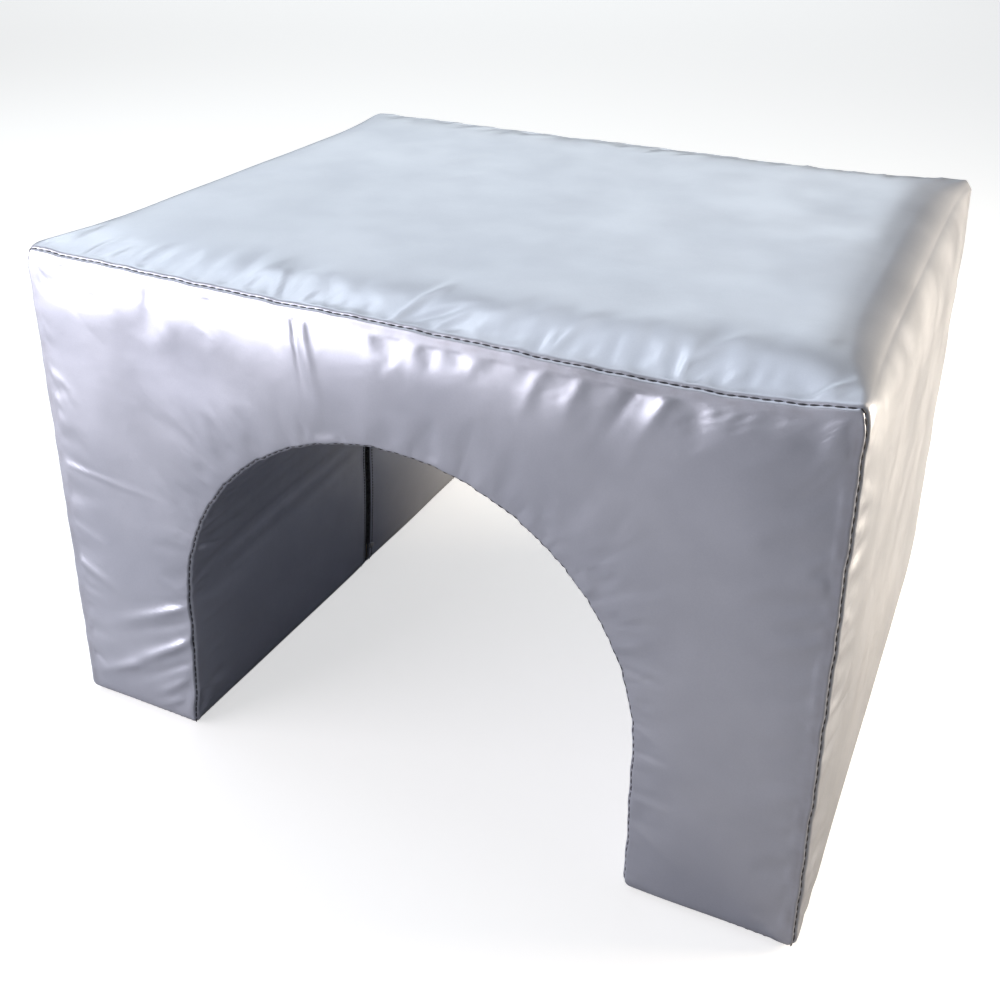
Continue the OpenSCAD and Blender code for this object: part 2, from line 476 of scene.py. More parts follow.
@dataclass(frozen=True)
class Undulation:
    """The slight unevenness of a face that lies on foam.

    Attributes:
        seed: Seed of its own random numbers.
        height: Height of each wave.
        shortest: Shortest wavelength.
        longest: Longest wavelength.
        waves: Number of waves.
    """

    seed: int
    height: float = 0.13 * MM
    shortest: float = 80 * MM
    longest: float = 260 * MM
    waves: int = 12

    def at(self, u: Array, v: Array) -> Array:
        """Returns the height at flat coordinates.

        Args:
            u: First coordinate at each place.
            v: Second coordinate at each place.

        Returns:
            The height at each place.
        """
        rng = np.random.default_rng(self.seed)
        total = np.zeros_like(u)
        for _ in range(self.waves):
            wavelength = rng.uniform(self.shortest, self.longest)
            heading, phase = rng.uniform(0, math.pi), rng.uniform(0, 2 * math.pi)
            along = u * math.cos(heading) + v * math.sin(heading)
            bend = 0.6 * np.sin((u * math.sin(heading) - v * math.cos(heading)) / wavelength * 3.1 + phase)
            total += self.height * np.sin(2 * math.pi * along / wavelength + phase + bend)
        return total


@dataclass(frozen=True)
class Scallop:
    """How a gathered seam wanders in and out along its length."""

    seed: int
    height: float = 0.5 * MM
    reach: float = 9 * MM

    def at(self, place: Array) -> Array:
        """Returns the offset outwards at places along the seam.

        Args:
            place: Places along the seam.

        Returns:
            The height at each place.
        """
        rng = np.random.default_rng(self.seed)
        total = np.zeros_like(place)
        for wavelength in (23 * MM, 37 * MM, 61 * MM, 97 * MM):
            phase = rng.uniform(0, 2 * math.pi)
            total += self.height * 0.5 * np.sin(2 * math.pi * place / wavelength + phase)
        return total


# ---- cover panels


def graded(start: float, end: float, count: int, crowd: float = 0.62) -> Array:
    """Returns places from start to end, both left out, that crowd towards the ends."""
    t = np.linspace(0, 1, count + 2)[1:-1]
    return start + (end - start) * (t - crowd * np.sin(2 * math.pi * t) / (2 * math.pi))


@dataclass
class PanelGrid:
    """One panel of the cover, as a grid over its outside face.

    Attributes:
        points: Grid of points, shape (n, m, 3).
        outward: Outward direction at each point.
        u: First flat coordinate of each point.
        v: Second flat coordinate of each point.
        seam_distance: Distance of each point from the nearest long seam.
    """

    points: Array
    outward: Array
    u: Array
    v: Array
    seam_distance: Array

    def lift(self, height: Array) -> None:
        """Moves each point outwards by a height, less and less towards the seams."""
        hold = smoothstep(SEAM_ACROSS, 7.5 * MM, self.seam_distance)
        self.points = self.points + self.outward * (height * hold)[..., None]

    def fill(self, height: Array) -> None:
        """Moves each point outwards by a height that is already nothing at the seams."""
        self.points = self.points + self.outward * height[..., None]

    def is_inside_out(self) -> bool:
        """True if the grid's own normals point into the block."""
        normal = grid_normals(self.points)
        return float((normal * self.outward).sum(axis=2).mean()) < 0


class End(Enum):
    """The two ends of the tunnel."""

    FRONT = -1
    BACK = 1


@dataclass
class Cover:
    """The sewn cover: its panels' shapes, from the frame's sizes to shaped grids."""

    sizes: BlockSizes
    outline: Outline
    thickness: float = 1 * MM
    column_step: float = 2.5 * MM
    row_step: float = 5.0 * MM
    foot_roll: float = 10 * MM
    foot_seam: float = 1.3 * MM
    foot_turn_in: float = 2.5 * MM
    crown: float = 4.0 * MM
    lean: float = 8 * MM
    lean_below: float = 14 * MM
    sag_reach: float = 30 * MM
    corner_tuck: float = 3 * MM
    fold_radius: float = 1.05 * MM
    fold_back: float = 12 * MM
    zip_edge: float = 4.5 * MM
    plain_edge: float = 0.35 * MM
    gap_end: float = 104 * MM
    gap_closing: float = 7 * MM
    base_lift: float = 0.12 * MM
    base_round: float = 3.2 * MM
    sag: tuple[tuple[float, float], ...] = (
        (-300, 0), (-245, 2.2), (-185, 3.6), (-90, 6.2), (0, 7), (80, 9), (235, 9), (270, 6), (300, 0),
    )

    # -- places along the skin

    def columns(self) -> tuple[Array, Array]:
        """Spaces the grid's columns along the outer skin.

        Returns:
            The places, and how far each is turned in at the feet.
        """
        half = self.sizes.path_length / 2
        foot = np.array([self.foot_seam, 2 * MM, 3 * MM, 4.3 * MM, 6 * MM, 8.2 * MM, 11 * MM])
        corner = self.sizes.height
        near = 9 * MM
        stretches = [
            np.arange(
                foot[-1] + self.column_step, corner - near - 0.4 * self.column_step, self.column_step
            ),
            np.linspace(corner - near, corner + near, 15),
            np.linspace(corner + near, half, round((half - corner - near) / self.column_step))[1:],
        ]
        left = np.concatenate([[self.foot_seam + self.foot_turn_in], foot, *stretches])
        turn = np.zeros_like(left)
        turn[0] = self.foot_turn_in
        a = np.concatenate([left, self.sizes.path_length - left[-2::-1]])
        return a, np.concatenate([turn, turn[-2::-1]])

    def taper_feet(self, points: Array) -> Array:
        """Draws the bottom of each leg in so that the cover rolls under the foot.

        Args:
            points: Points, with X, Y and Z on the last axis.

        Returns:
            The moved points.
        """
        x, y, z = points[..., 0], points[..., 1], points[..., 2]
        low = np.clip(self.foot_roll - z, 0, self.foot_roll)
        inset = self.foot_roll - np.sqrt(self.foot_roll**2 - low**2)
        middle = np.sign(x) * self.sizes.leg_x
        half_leg = self.sizes.half_w - self.sizes.leg_x
        scale_x = np.where(z < self.foot_roll, 1 - inset / half_leg, 1.0)
        scale_y = np.where(z < self.foot_roll, 1 - inset / self.sizes.half_d, 1.0)
        return np.stack([middle + (x - middle) * scale_x, y * scale_y, z], axis=-1)

    # -- grids of the panels

    def strip_grid(self) -> PanelGrid:
        """Lays out the outer strip, from the left foot over the top to the right foot.

        Returns:
            The panel's grid.
        """
        s = self.sizes
        a, turn = self.columns()
        d, h = SKIN_ROLL.rows()
        flat = s.half_d - SKIN_ROLL.reach
        middle = graded(-flat, flat, round(2 * flat / self.row_step), crowd=0.35)
        y = np.concatenate([-s.half_d + d, middle, (s.half_d - d)[::-1]])
        inset = np.concatenate([h, np.zeros_like(middle), h[::-1]])
        aa, yy = np.meshgrid(a, y, indexing="ij")
        total = inset[None, :] + turn[:, None]
        contour, normal = self.outline.outer(aa, self.outline.corner_radius(yy))
        xz = contour - normal * total[..., None]
        return PanelGrid(in_space(xz, yy), in_space(normal, 0.0), aa, yy, s.half_d - np.abs(yy))

    def end_grid(self, end: End) -> PanelGrid:
        """Lays out an end panel, from the seam round the tunnel to the seam round the outside.

        Args:
            end: Which end of the tunnel.

        Returns:
            The panel's grid.
        """
        s = self.sizes
        a, turn = self.columns()
        d, h = END_ROLL.rows()
        inner, into_foam = self.outline.inner(a)
        outer, normal = self.outline.outer(a, np.full_like(a, self.outline.end_corner_r))
        near = inner[:, None] + into_foam[:, None] * d[None, :, None]
        far = outer[:, None] - normal[:, None] * d[None, :, None]
        f = graded(0, 1, 50)[None, :, None]
        between = near[:, -1:] * (1 - f) + far[:, -1:] * f
        xz = np.concatenate([near, between, far[:, ::-1]], axis=1)
        inset = np.concatenate([h, np.zeros(f.size), h[::-1]])
        depth = s.half_d - inset[None, :] - turn[:, None]
        points = in_space(xz, end.value * depth)
        outward = np.zeros_like(points)
        outward[..., 1] = end.value
        width = np.linalg.norm(outer - inner, axis=1)[:, None]
        step = np.linalg.norm(np.diff(xz, axis=1), axis=2)
        along = np.concatenate([np.zeros((len(a), 1)), np.cumsum(step, axis=1)], axis=1)
        along = d[0] - along[:, :1] + along
        distance = np.minimum(np.abs(along), np.abs(width - along))
        return PanelGrid(points, outward, xz[..., 0], xz[..., 1], distance)

    def edge_place(self, a: Array, end: End) -> Array:
        """Returns where each lining half ends beside the zip, or at the plain seam below it.

        Args:
            a: Places along the outer skin.
            end: Which end of the tunnel.

        Returns:
            The Y of the edge at each place.
        """
        s = self.sizes
        on_right = np.where(a > s.path_length / 2, s.path_length - a, s.path_length)
        opening = smoothstep(self.gap_end - self.gap_closing, self.gap_end + self.gap_closing, on_right)
        away = self.plain_edge + (self.zip_edge - self.plain_edge) * opening
        return s.zip_y + end.value * away

    def lining_grid(self, end: End) -> PanelGrid:
        """Lays out one half of the tunnel's lining, from its end seam to its folded edge.

        Args:
            end: Which end of the tunnel.

        Returns:
            The panel's grid.
        """
        s = self.sizes
        a, turn = self.columns()
        d, h = SKIN_ROLL.rows()
        edge = self.edge_place(a, end)[:, None]
        width = s.half_d - end.value * edge
        flat_end = width - self.fold_radius
        count = round((s.half_d - SKIN_ROLL.reach) / self.row_step)
        f = graded(0, 1, count)[None, :]
        middle = SKIN_ROLL.reach + (flat_end - SKIN_ROLL.reach) * f
        turning = np.linspace(0, math.pi, 9)[None, :]
        rolled = flat_end + self.fold_radius * np.sin(turning)
        under = flat_end - np.linspace(0, self.fold_back, 5)[None, 1:]
        distance = np.concatenate([np.repeat(d[None], len(a), 0), middle, rolled, under], axis=1)
        roll_h = self.fold_radius * (1 - np.cos(turning[0]))
        inset = np.concatenate([h, np.zeros(count), roll_h, np.full(4, 2 * self.fold_radius)])
        dip = 0.9 * MM * np.exp(-np.clip(flat_end - distance, 0, None) / (7 * MM))
        aa = np.repeat(a[:, None], distance.shape[1], 1)
        point, into_foam = self.outline.inner(aa)
        total = inset[None, :] + turn[:, None] + dip
        xz = point + into_foam * total[..., None]
        yy = end.value * (s.half_d - distance)
        folded = rolled.shape[1] + under.shape[1]
        to_edge = np.repeat(flat_end, inset.size, 1) - distance
        to_edge[:, -folded:] = 0
        near = np.minimum(distance, to_edge + SEAM_ACROSS)
        length = self.outline.inner_length(aa)
        return PanelGrid(in_space(xz, yy), -in_space(into_foam, 0.0), length, yy, near)

    def base_grid(self, side: int) -> PanelGrid:
        """Lays out the panel under one foot.

        Args:
            side: -1 for the left foot, 1 for the right.

        Returns:
            The panel's grid.
        """
        s = self.sizes
        low = self.foot_roll - self.foot_seam
        inset = self.foot_roll - math.sqrt(self.foot_roll**2 - low**2)
        half_x, half_y = s.half_w - s.leg_x - inset, s.half_d - inset
        edge = np.array([0.0, 0.25, 0.7, 1.4, 2.6, 4.5]) * MM
        x, y = (
            np.concatenate(
                [edge - half, graded(-half + edge[-1], half - edge[-1], count), half - edge[::-1]]
            )
            for half, count in ((half_x, 20), (half_y, 90))
        )
        xx, yy = np.meshgrid(x, y, indexing="ij")
        in_x, in_y = half_x - np.abs(xx), half_y - np.abs(yy)
        depth = np.minimum(in_x, in_y)
        z = self.base_lift + self.foot_seam * np.exp(-((depth / (1.1 * MM)) ** 1.3))
        over_x = np.clip(self.base_round - in_x, 0, None)
        over_y = np.clip(self.base_round - in_y, 0, None)
        reach = np.maximum(np.hypot(over_x, over_y), 1e-9)
        pull = np.minimum(1.0, np.maximum(over_x, over_y) / reach)
        shown_x = np.sign(xx) * (np.abs(xx) - over_x * (1 - pull))
        shown_y = np.sign(yy) * (np.abs(yy) - over_y * (1 - pull))
        points = self.lean_left(np.stack([side * s.leg_x + shown_x, shown_y, z], axis=-1))
        outward = np.zeros_like(points)
        outward[..., 2] = -1.0
        return PanelGrid(points, outward, xx, yy, depth)

    # -- soft shape

    @staticmethod
    def pillow(distance: Array, reach: float) -> Array:
        """Returns how far a face has risen, 0 at a seam and 1 past the reach of its roll."""
        return 1 - (1 - np.clip((distance - SEAM_ACROSS) / reach, 0, 1)) ** 2

    def lean_left(self, points: Array) -> Array:
        """Leans the left leg's inner wall out at the floor, most at the front.

        Args:
            points: Points, with X, Y and Z on the last axis.

        Returns:
            The moved points.
        """
        x, y, z = points[..., 0], points[..., 1], points[..., 2]
        s = self.sizes
        low = np.clip(1 - z / (s.spring_h - self.lean_below), 0, 1) ** 1.5
        across = np.clip((x + s.half_w) / (s.half_w - s.arch_r), 0, 1)
        across = np.where(x > 0, 0, across)
        forward = 1 - 0.5 * np.clip((y + s.half_d) / (2 * s.half_d), 0, 1)
        return np.stack([x - self.lean * low * across * forward, y, z], axis=-1)

    def sag_seams(self, points: Array) -> Array:
        """Lets the long top seams hang between the corners, and draws the four top corners in.

        Args:
            points: Points, with X, Y and Z on the last axis.

        Returns:
            The moved points.
        """
        x, y, z = points[..., 0], points[..., 1], points[..., 2]
        s = self.sizes
        places, drops = np.array(self.sag).T * MM
        front = np.exp(-((np.hypot(y + s.half_d, z - s.height) / self.sag_reach) ** 2))
        back = 0.5 * np.exp(-((np.hypot(y - s.half_d, z - s.height) / self.sag_reach) ** 2))
        near = front + back
        flat = x.ravel()
        drop = hermite(np.clip(flat, places[0], places[-1]), places, drops).reshape(x.shape) * near
        corner = np.sqrt((np.abs(x) - s.half_w) ** 2 + (np.abs(y) - s.half_d) ** 2 + (z - s.height) ** 2)
        tuck = self.corner_tuck * np.exp(-((corner / (9 * MM)) ** 2))
        return np.stack([x - np.sign(x) * tuck, y + 0.3 * drop * (front - back) - np.sign(y) * tuck * 0.5,
                         z - drop - tuck * 0.4], axis=-1)

    def settle(self, points: Array) -> Array:
        """Shapes points of the cover, or of what lies on it, the way the soft block sits."""
        return self.sag_seams(self.lean_left(self.taper_feet(points)))


# ---- slack cloth over the foam


def smoothed(values: Array, passes: int) -> Array:
    """Returns a grid of values averaged with its neighbours, again and again.

    Args:
        values: The values.
        passes: How many times to average.

    Returns:
        The averaged values.
    """
    for _ in range(passes):
        padded = np.pad(values, 1, mode="edge")
        values = (
            padded[:-2, 1:-1]
            + padded[2:, 1:-1]
            + padded[1:-1, :-2]
            + padded[1:-1, 2:]
            + 2 * padded[1:-1, 1:-1]
        ) / 6
    return values


@dataclass
class SlackCover:
    """A cloth simulation of the whole cover as one closed bag, for its wrinkles alone.

    An even inner pressure stands in for the foam. The seams, the zip and the feet are held, and
    beside the seams the cloth is a little longer than the seam that gathers it, so it puckers there.
    The broad bulge is filtered out and only the heights of the wrinkles are kept.
    """

    cover: Cover
    columns: int = 234
    rows: int = 84
    panel_rows: int = 22
    frames: int = 20
    pressure: float = 4.0
    gathered: float = 0.03
    gather_reach: float = 34 * MM
    seed: int = 3
    highest: float = 1.6 * MM
    flatten: int = 26

    def run(self) -> dict[str, tuple[Array, Array, Array]]:
        """Simulates the cover.

        Returns:
            For the strip, the end panels and the lining: the places of the rows and columns, and the
            height of the wrinkles there.
        """
        s, outline = self.cover.sizes, self.cover.outline
        a = np.linspace(0, s.path_length, self.columns)
        y = np.linspace(-s.half_d, s.half_d, self.rows)
        f = np.linspace(0, 1, self.panel_rows)
        aa, yy = np.meshgrid(a, y, indexing="ij")
        skin, skin_normal = outline.outer(aa, outline.corner_radius(yy))
        wall, into_foam = outline.inner(aa)
        edge, _ = outline.outer(a, np.full_like(a, outline.end_corner_r))
        face = wall[:, :1] * (1 - f[None, :, None]) + edge[:, None] * f[None, :, None]
        strip, lining = in_space(skin, yy), in_space(wall, yy)
        ends = {end: in_space(face, end.value * s.half_d) for end in End}
        ring = np.concatenate(
            [strip, ends[End.BACK][:, -2:0:-1], lining[:, ::-1], ends[End.FRONT][:, 1:-1]], axis=1
        )
        bag, rest, caps = self.make_bag(ring)
        self.hold(bag, ring, caps)
        moved = self.simulate(bag)
        shift = (moved - rest)[: ring.shape[0] * ring.shape[1]].reshape(ring.shape)
        bpy.data.objects.remove(bag)
        n, m = self.rows, self.panel_rows - 2
        parts = {
            "strip": shift[:, :n],
            "back": shift[:, n - 1 : n + m + 1][:, ::-1],
            "lining": shift[:, n + m : 2 * n + m][:, ::-1],
            "front": np.concatenate([shift[:, 2 * n + m - 1 :], shift[:, :1]], axis=1),
        }
        heights = {
            "strip": (parts["strip"] * in_space(skin_normal, 0.0)).sum(-1),
            "lining": (parts["lining"] * -in_space(into_foam, 0.0)).sum(-1),
            "front": -parts["front"][..., 1],
            "back": parts["back"][..., 1],
        }
        across = {"strip": y, "lining": y, "front": f, "back": f}
        found = {}
        for name, height in heights.items():
            wrinkle = height - smoothed(height, self.flatten)
            if name == "strip":
                off_corner = np.abs(np.minimum(a, s.path_length - a) - s.height)
                wrinkle *= (1 - 0.85 * np.exp(-((off_corner / (32 * MM)) ** 2)))[:, None]
            wrinkle = self.highest * np.tanh(wrinkle / self.highest)
            pushed, spread = np.abs(height).max() / MM, wrinkle.std() / MM
            LOG.info("slack %s: pushed %.1f mm, wrinkles %.2f mm", name, pushed, spread)
            found[name] = (a, across[name], wrinkle)
        return found

    def make_bag(self, ring: Array) -> tuple[Object, Array, int]:
        """Makes the closed bag from its rings, with a flat cap under each foot.

        Args:
            ring: The closed rings of the bag.

        Returns:
            The bag, its points, and how many of them only the caps use.
        """
        n, m = ring.shape[:2]
        index = np.arange(n * m).reshape(n, m)
        after = np.roll(index, -1, axis=1)
        quads = [np.stack([index[:-1], after[:-1], after[1:], index[1:]], axis=-1).reshape(-1, 4)]
        points = [ring.reshape(-1, 3)]
        count = n * m
        for column, way in ((0, 1), (n - 1, -1)):
            loop = index[column]
            r, q = self.rows, self.panel_rows
            cap = np.full((r, q), -1)
            cap[:, -1] = loop[:r]
            cap[-1, ::-1] = loop[r - 1 : r + q - 1]
            cap[::-1, 0] = loop[r + q - 2 : 2 * r + q - 2]
            cap[0, 0] = loop[2 * r + q - 3]
            cap[0, 1:-1] = loop[2 * r + q - 2 :]
            weight = np.linspace(0, 1, q)[None, :, None]
            strip_side = ring[column][:r][:, None]
            lining_side = ring[column][r + q - 2 : 2 * r + q - 2][::-1][:, None]
            flat = strip_side * weight + lining_side * (1 - weight)
            inner = flat[1:-1, 1:-1].reshape(-1, 3)
            cap[1:-1, 1:-1] = count + np.arange(len(inner)).reshape(r - 2, q - 2)
            count += len(inner)
            points.append(inner)
            quad = np.stack(
                [cap[:-1, :-1], cap[1:, :-1], cap[1:, 1:], cap[:-1, 1:]], axis=-1
            ).reshape(-1, 4)
            quads.append(quad[:, ::way])
        cloth = mesh_from_arrays("slack_bag", np.concatenate(points), np.concatenate(quads))
        shape = bmesh.new()
        shape.from_mesh(cloth)
        bmesh.ops.recalc_face_normals(shape, faces=shape.faces)
        shape.to_mesh(cloth)
        shape.free()
        return link("slack_bag", cloth), np.concatenate(points), count - n * m

    def hold(self, bag: Object, ring: Array, caps: int) -> None:
        """Marks what is held and where the cloth is gathered.

        Args:
            bag: The bag.
            ring: The closed rings of the bag.
            caps: Number of points that only the caps use.
        """
        n, m = ring.shape[:2]
        s = self.cover.sizes
        r, q = self.rows, self.panel_rows
        seams = np.array([0, r - 1, r + q - 2, 2 * r + q - 3])
        half_ring = np.concatenate([np.full(r, 2 * s.half_d / r), np.full(q - 2, 8 * MM)])
        spacing = np.tile(half_ring, 2)
        place = np.cumsum(spacing)
        girth = place[-1]
        gap = np.abs(place[:, None] - place[seams][None, :])
        distance = np.minimum(gap, girth - gap).min(axis=1)
        rng = np.random.default_rng(self.seed)
        raw = rng.uniform(0, 1, (n, m))
        patchy = smoothed(raw, 8)
        patchy = np.clip((patchy - patchy.mean()) / patchy.std() * 0.35 + 0.5, 0, 1)
        slack = np.exp(-((distance / self.gather_reach) ** 2))[None, :] * patchy
        held = np.zeros((n, m), bool)
        held[:, seams] = True
        held[[0, 1, -2, -1]] = True
        zip_row = r + q - 2 + np.abs(ring[n // 2, r + q - 2 : 2 * r + q - 2, 1] - s.zip_y).argmin()
        held[:, zip_row] = True
        of_caps = list(range(n * m, n * m + caps))
        pins = bag.vertex_groups.new(name="held")
        pins.add([int(i) for i in np.flatnonzero(held.ravel())] + of_caps, 1.0, "REPLACE")
        group = bag.vertex_groups.new(name="cut_true")
        group.add(of_caps, 1.0, "REPLACE")
        for level in range(21):
            here = np.flatnonzero(np.round(slack.ravel() * 20) == level)
            group.add([int(i) for i in here], 1 - level / 20, "REPLACE")

    def simulate(self, bag: Object) -> Array:
        """Runs the cloth and returns every point's final place.

        Args:
            bag: The bag.

        Returns:
            Every point of the bag at the last frame.
        """
        modifier = bag.modifiers.new("cloth", "CLOTH")
        cloth = modifier.settings
        cloth.quality = 6
        cloth.mass = 0.25
        cloth.tension_stiffness = cloth.compression_stiffness = 20.0
        cloth.shear_stiffness = 8.0
        cloth.bending_stiffness = 1.5
        cloth.air_damping = 2.0
        cloth.vertex_group_mass = "held"
        cloth.pin_stiffness = 1.0
        cloth.use_pressure = True
        cloth.uniform_pressure_force = self.pressure
        cloth.vertex_group_shrink = "cut_true"
        cloth.shrink_min = -self.gathered
        cloth.shrink_max = 0.0
        cloth.effector_weights.gravity = 0.0
        modifier.collision_settings.use_collision = False
        modifier.collision_settings.use_self_collision = False
        modifier.point_cache.frame_start, modifier.point_cache.frame_end = 1, self.frames
        scene = bpy.context.scene
        for frame_number in range(1, self.frames + 1):
            scene.frame_set(frame_number)
        evaluated = bag.evaluated_get(bpy.context.evaluated_depsgraph_get())
        flat = np.empty(len(bag.data.vertices) * 3)
        evaluated.data.vertices.foreach_get("co", flat)
        scene.frame_set(1)
        bag.modifiers.remove(modifier)
        return flat.reshape(-1, 3)


# ---- node helpers


class NodeSheet:
    """Adds nodes to a tree and joins them, in few words."""

    def __init__(self, tree: NodeTree) -> None:
        """Keeps the tree that nodes are added to."""
        self.tree = tree

    def add(self, kind: str, inputs: dict | None = None, **settings) -> Node:
        """Adds a node.

        Args:
            kind: Blender's name for the node type.
            inputs: Values or output sockets for its inputs, by name or number.
            **settings: Properties of the node.

        Returns:
            The node.
        """
        node = self.tree.nodes.new(kind)
        for name, value in settings.items():
            setattr(node, name, value)
        self.feed(node, inputs or {})
        return node

    def feed(self, node: Node, inputs: dict) -> None:
        """Sets a node's inputs to plain values, or joins them to output sockets.

        Args:
            node: The node.
            inputs: Values or output sockets for its inputs, by name or number.
        """
        for name, value in inputs.items():
            if isinstance(value, NodeSocket):
                self.tree.links.new(value, node.inputs[name])
            else:
                node.inputs[name].default_value = value

    def math(self, operation: str, *values) -> NodeSocket:
        """Adds a Math node and returns its output."""
        return self.add("ShaderNodeMath", dict(enumerate(values)), operation=operation).outputs[0]

    def group(self, group: NodeTree, inputs: dict) -> NodeSocket:
        """Adds a shader node group and returns its only output.

        Args:
            group: The shared node group.
            inputs: Values or sockets for its inputs.

        Returns:
            The group's output socket.
        """
        node = self.add("ShaderNodeGroup", node_tree=group)
        self.feed(node, inputs)
        return node.outputs[0]

    def emboss(self, surface: Node, height: NodeSocket, **sizes: float) -> None:
        """Gives a surface fine relief through a Bump node.

        Args:
            surface: The Principled BSDF.
            height: Height of the relief, in shares of its depth.
            **sizes: Strength and Distance of the Bump node.
        """
        bump = self.add("ShaderNodeBump", {**sizes, "Height": height})
        self.feed(surface, {"Normal": bump.outputs["Normal"]})


SOCKETS = {
    "float": "NodeSocketFloat",
    "vector": "NodeSocketVector",
    "colour": "NodeSocketColor",
    "geometry": "NodeSocketGeometry",
    "material": "NodeSocketMaterial",
    "integer": "NodeSocketInt",
}


def new_group(name: str, kind: str, inputs: dict[str, str], outputs: dict[str, str]) -> tuple:
    """Makes an empty node group with named sockets.

    Args:
        name: Name of the group.
        kind: "ShaderNodeTree" or "GeometryNodeTree".
        inputs: Socket kinds by name, from SOCKETS.
        outputs: Socket kinds by name.

    Returns:
        The group, a NodeSheet on it, its input node and its output node.
    """
    group = bpy.data.node_groups.new(name, kind)
    for way, sockets in (("INPUT", inputs), ("OUTPUT", outputs)):
        for socket, socket_kind in sockets.items():
            group.interface.new_socket(socket, in_out=way, socket_type=SOCKETS[socket_kind])
    sheet = NodeSheet(group)
    return group, sheet, sheet.add("NodeGroupInput"), sheet.add("NodeGroupOutput")


# ---- shared surface effects


def make_grain_group() -> NodeTree:
    """Makes the fine embossed grain that coated and moulded surfaces share.

    Returns:
        The node group.
    """
    group, sheet, given, result = new_group(
        "embossed grain",
        "ShaderNodeTree",
        {"Vector": "vector", "Cells per metre": "float", "Pores": "float"},
        {"Height": "float"},
    )
    place, scale = given.outputs["Vector"], given.outputs["Cells per metre"]
    cells = sheet.add("ShaderNodeTexVoronoi", {"Vector": place, "Scale": scale}, feature="SMOOTH_F1")
    soft = sheet.add(
        "ShaderNodeTexNoise", {"Vector": place, "Scale": scale, "Detail": 3.0, "Roughness": 0.6}
    )
    pores = sheet.math("MULTIPLY", cells.outputs["Distance"], given.outputs["Pores"])
    height = sheet.math("ADD", soft.outputs["Factor" if "Factor" in soft.outputs else 0], pores)
    sheet.tree.links.new(height, result.inputs["Height"])
    return group


def make_blotch_group() -> NodeTree:
    """Makes the slow unevenness of tone and finish that every material has.

    Returns:
        The node group.
    """
    group, sheet, given, result = new_group(
        "slow blotches",
        "ShaderNodeTree",
        {"Vector": "vector", "Scale": "float", "Low": "float", "High": "float"},
        {"Value": "float"},
    )
    noise = sheet.add(
        "ShaderNodeTexNoise",
        {"Vector": given.outputs["Vector"], "Scale": given.outputs["Scale"], "Detail": 4.0},
    )
    spread = sheet.add(
        "ShaderNodeMapRange",
        {
            "Value": noise.outputs[0],
            "From Min": 0.3,
            "From Max": 0.7,
            "To Min": given.outputs["Low"],
            "To Max": given.outputs["High"],
        },
        interpolation_type="SMOOTHSTEP",
    )
    sheet.tree.links.new(spread.outputs["Result"], result.inputs["Value"])
    return group


def make_weave_group() -> NodeTree:
    """Makes a plain weave of crossing yarns on flat cloth coordinates in metres.

    Returns:
        The node group.
    """
    group, sheet, given, result = new_group(
        "plain weave",
        "ShaderNodeTree",
        {"Vector": "vector", "Yarn": "float"},
        {"Height": "float"},
    )
    parts = sheet.add("ShaderNodeSeparateXYZ", {"Vector": given.outputs["Vector"]})
    turns = [sheet.math("DIVIDE", parts.outputs[k], given.outputs["Yarn"]) for k in ("X", "Y")]
    waves = [sheet.math("SINE", sheet.math("MULTIPLY", turn, math.pi)) for turn in turns]
    crossing = sheet.math("MULTIPLY", waves[0], waves[1])
    yarns = [sheet.math("ABSOLUTE", wave) for wave in waves]
    over = sheet.math("GREATER_THAN", crossing, 0.0)
    under = sheet.math("SUBTRACT", 1.0, over)
    height = sheet.math(
        "ADD", sheet.math("MULTIPLY", over, yarns[0]), sheet.math("MULTIPLY", under, yarns[1])
    )
    sheet.tree.links.new(height, result.inputs["Height"])
    return group


@dataclass
class Effects:
    """The node groups that the finishes share."""

    grain: NodeTree = field(default_factory=make_grain_group)
    blotch: NodeTree = field(default_factory=make_blotch_group)
    weave: NodeTree = field(default_factory=make_weave_group)

    def blotches(
        self,
        sheet: NodeSheet,
        place: NodeSocket,
        scale: float,
        low: float = 0.0,
        high: float = 1.0,
    ) -> NodeSocket:
        """Adds slow blotches to a material.

        Args:
            sheet: The material's node sheet.
            place: Its Object coordinates.
            scale: Blotches per metre, roughly.
            low: Lowest value.
            high: Highest value.

        Returns:
            The value at each place.
        """
        return sheet.group(self.blotch, {"Vector": place, "Scale": scale, "Low": low, "High": high})


def start_material(name: str) -> tuple:
    """Makes an empty material.

    Args:
        name: Name of the material.

    Returns:
        The material, a NodeSheet on it, its Principled BSDF and the Object coordinates socket.
    """
    material = bpy.data.materials.new(name)
    material.use_nodes = True
    material.node_tree.nodes.clear()
    sheet = NodeSheet(material.node_tree)
    surface = sheet.add("ShaderNodeBsdfPrincipled")
    sheet.add("ShaderNodeOutputMaterial", {"Surface": surface.outputs["BSDF"]})
    place = sheet.add("ShaderNodeTexCoord").outputs["Object"]
    return material, sheet, surface, place


def mix_colour(sheet: NodeSheet, factor: object, first: object, second: object) -> NodeSocket:
    """Adds a colour mix and returns its result; the colours are (r, g, b) or sockets.

    Args:
        sheet: The node sheet to add to.
        factor: Share of the second colour, a value or a socket.
        first: First colour or its socket.
        second: Second colour or its socket.

    Returns:
        The mixed colour socket.
    """
    node = sheet.add("ShaderNodeMix", data_type="RGBA")
    colours = ((*c, 1.0) if isinstance(c, tuple) else c for c in (first, second))
    sheet.feed(node, dict(zip((0, 6, 7), (factor, *colours))))
    return node.outputs[2]


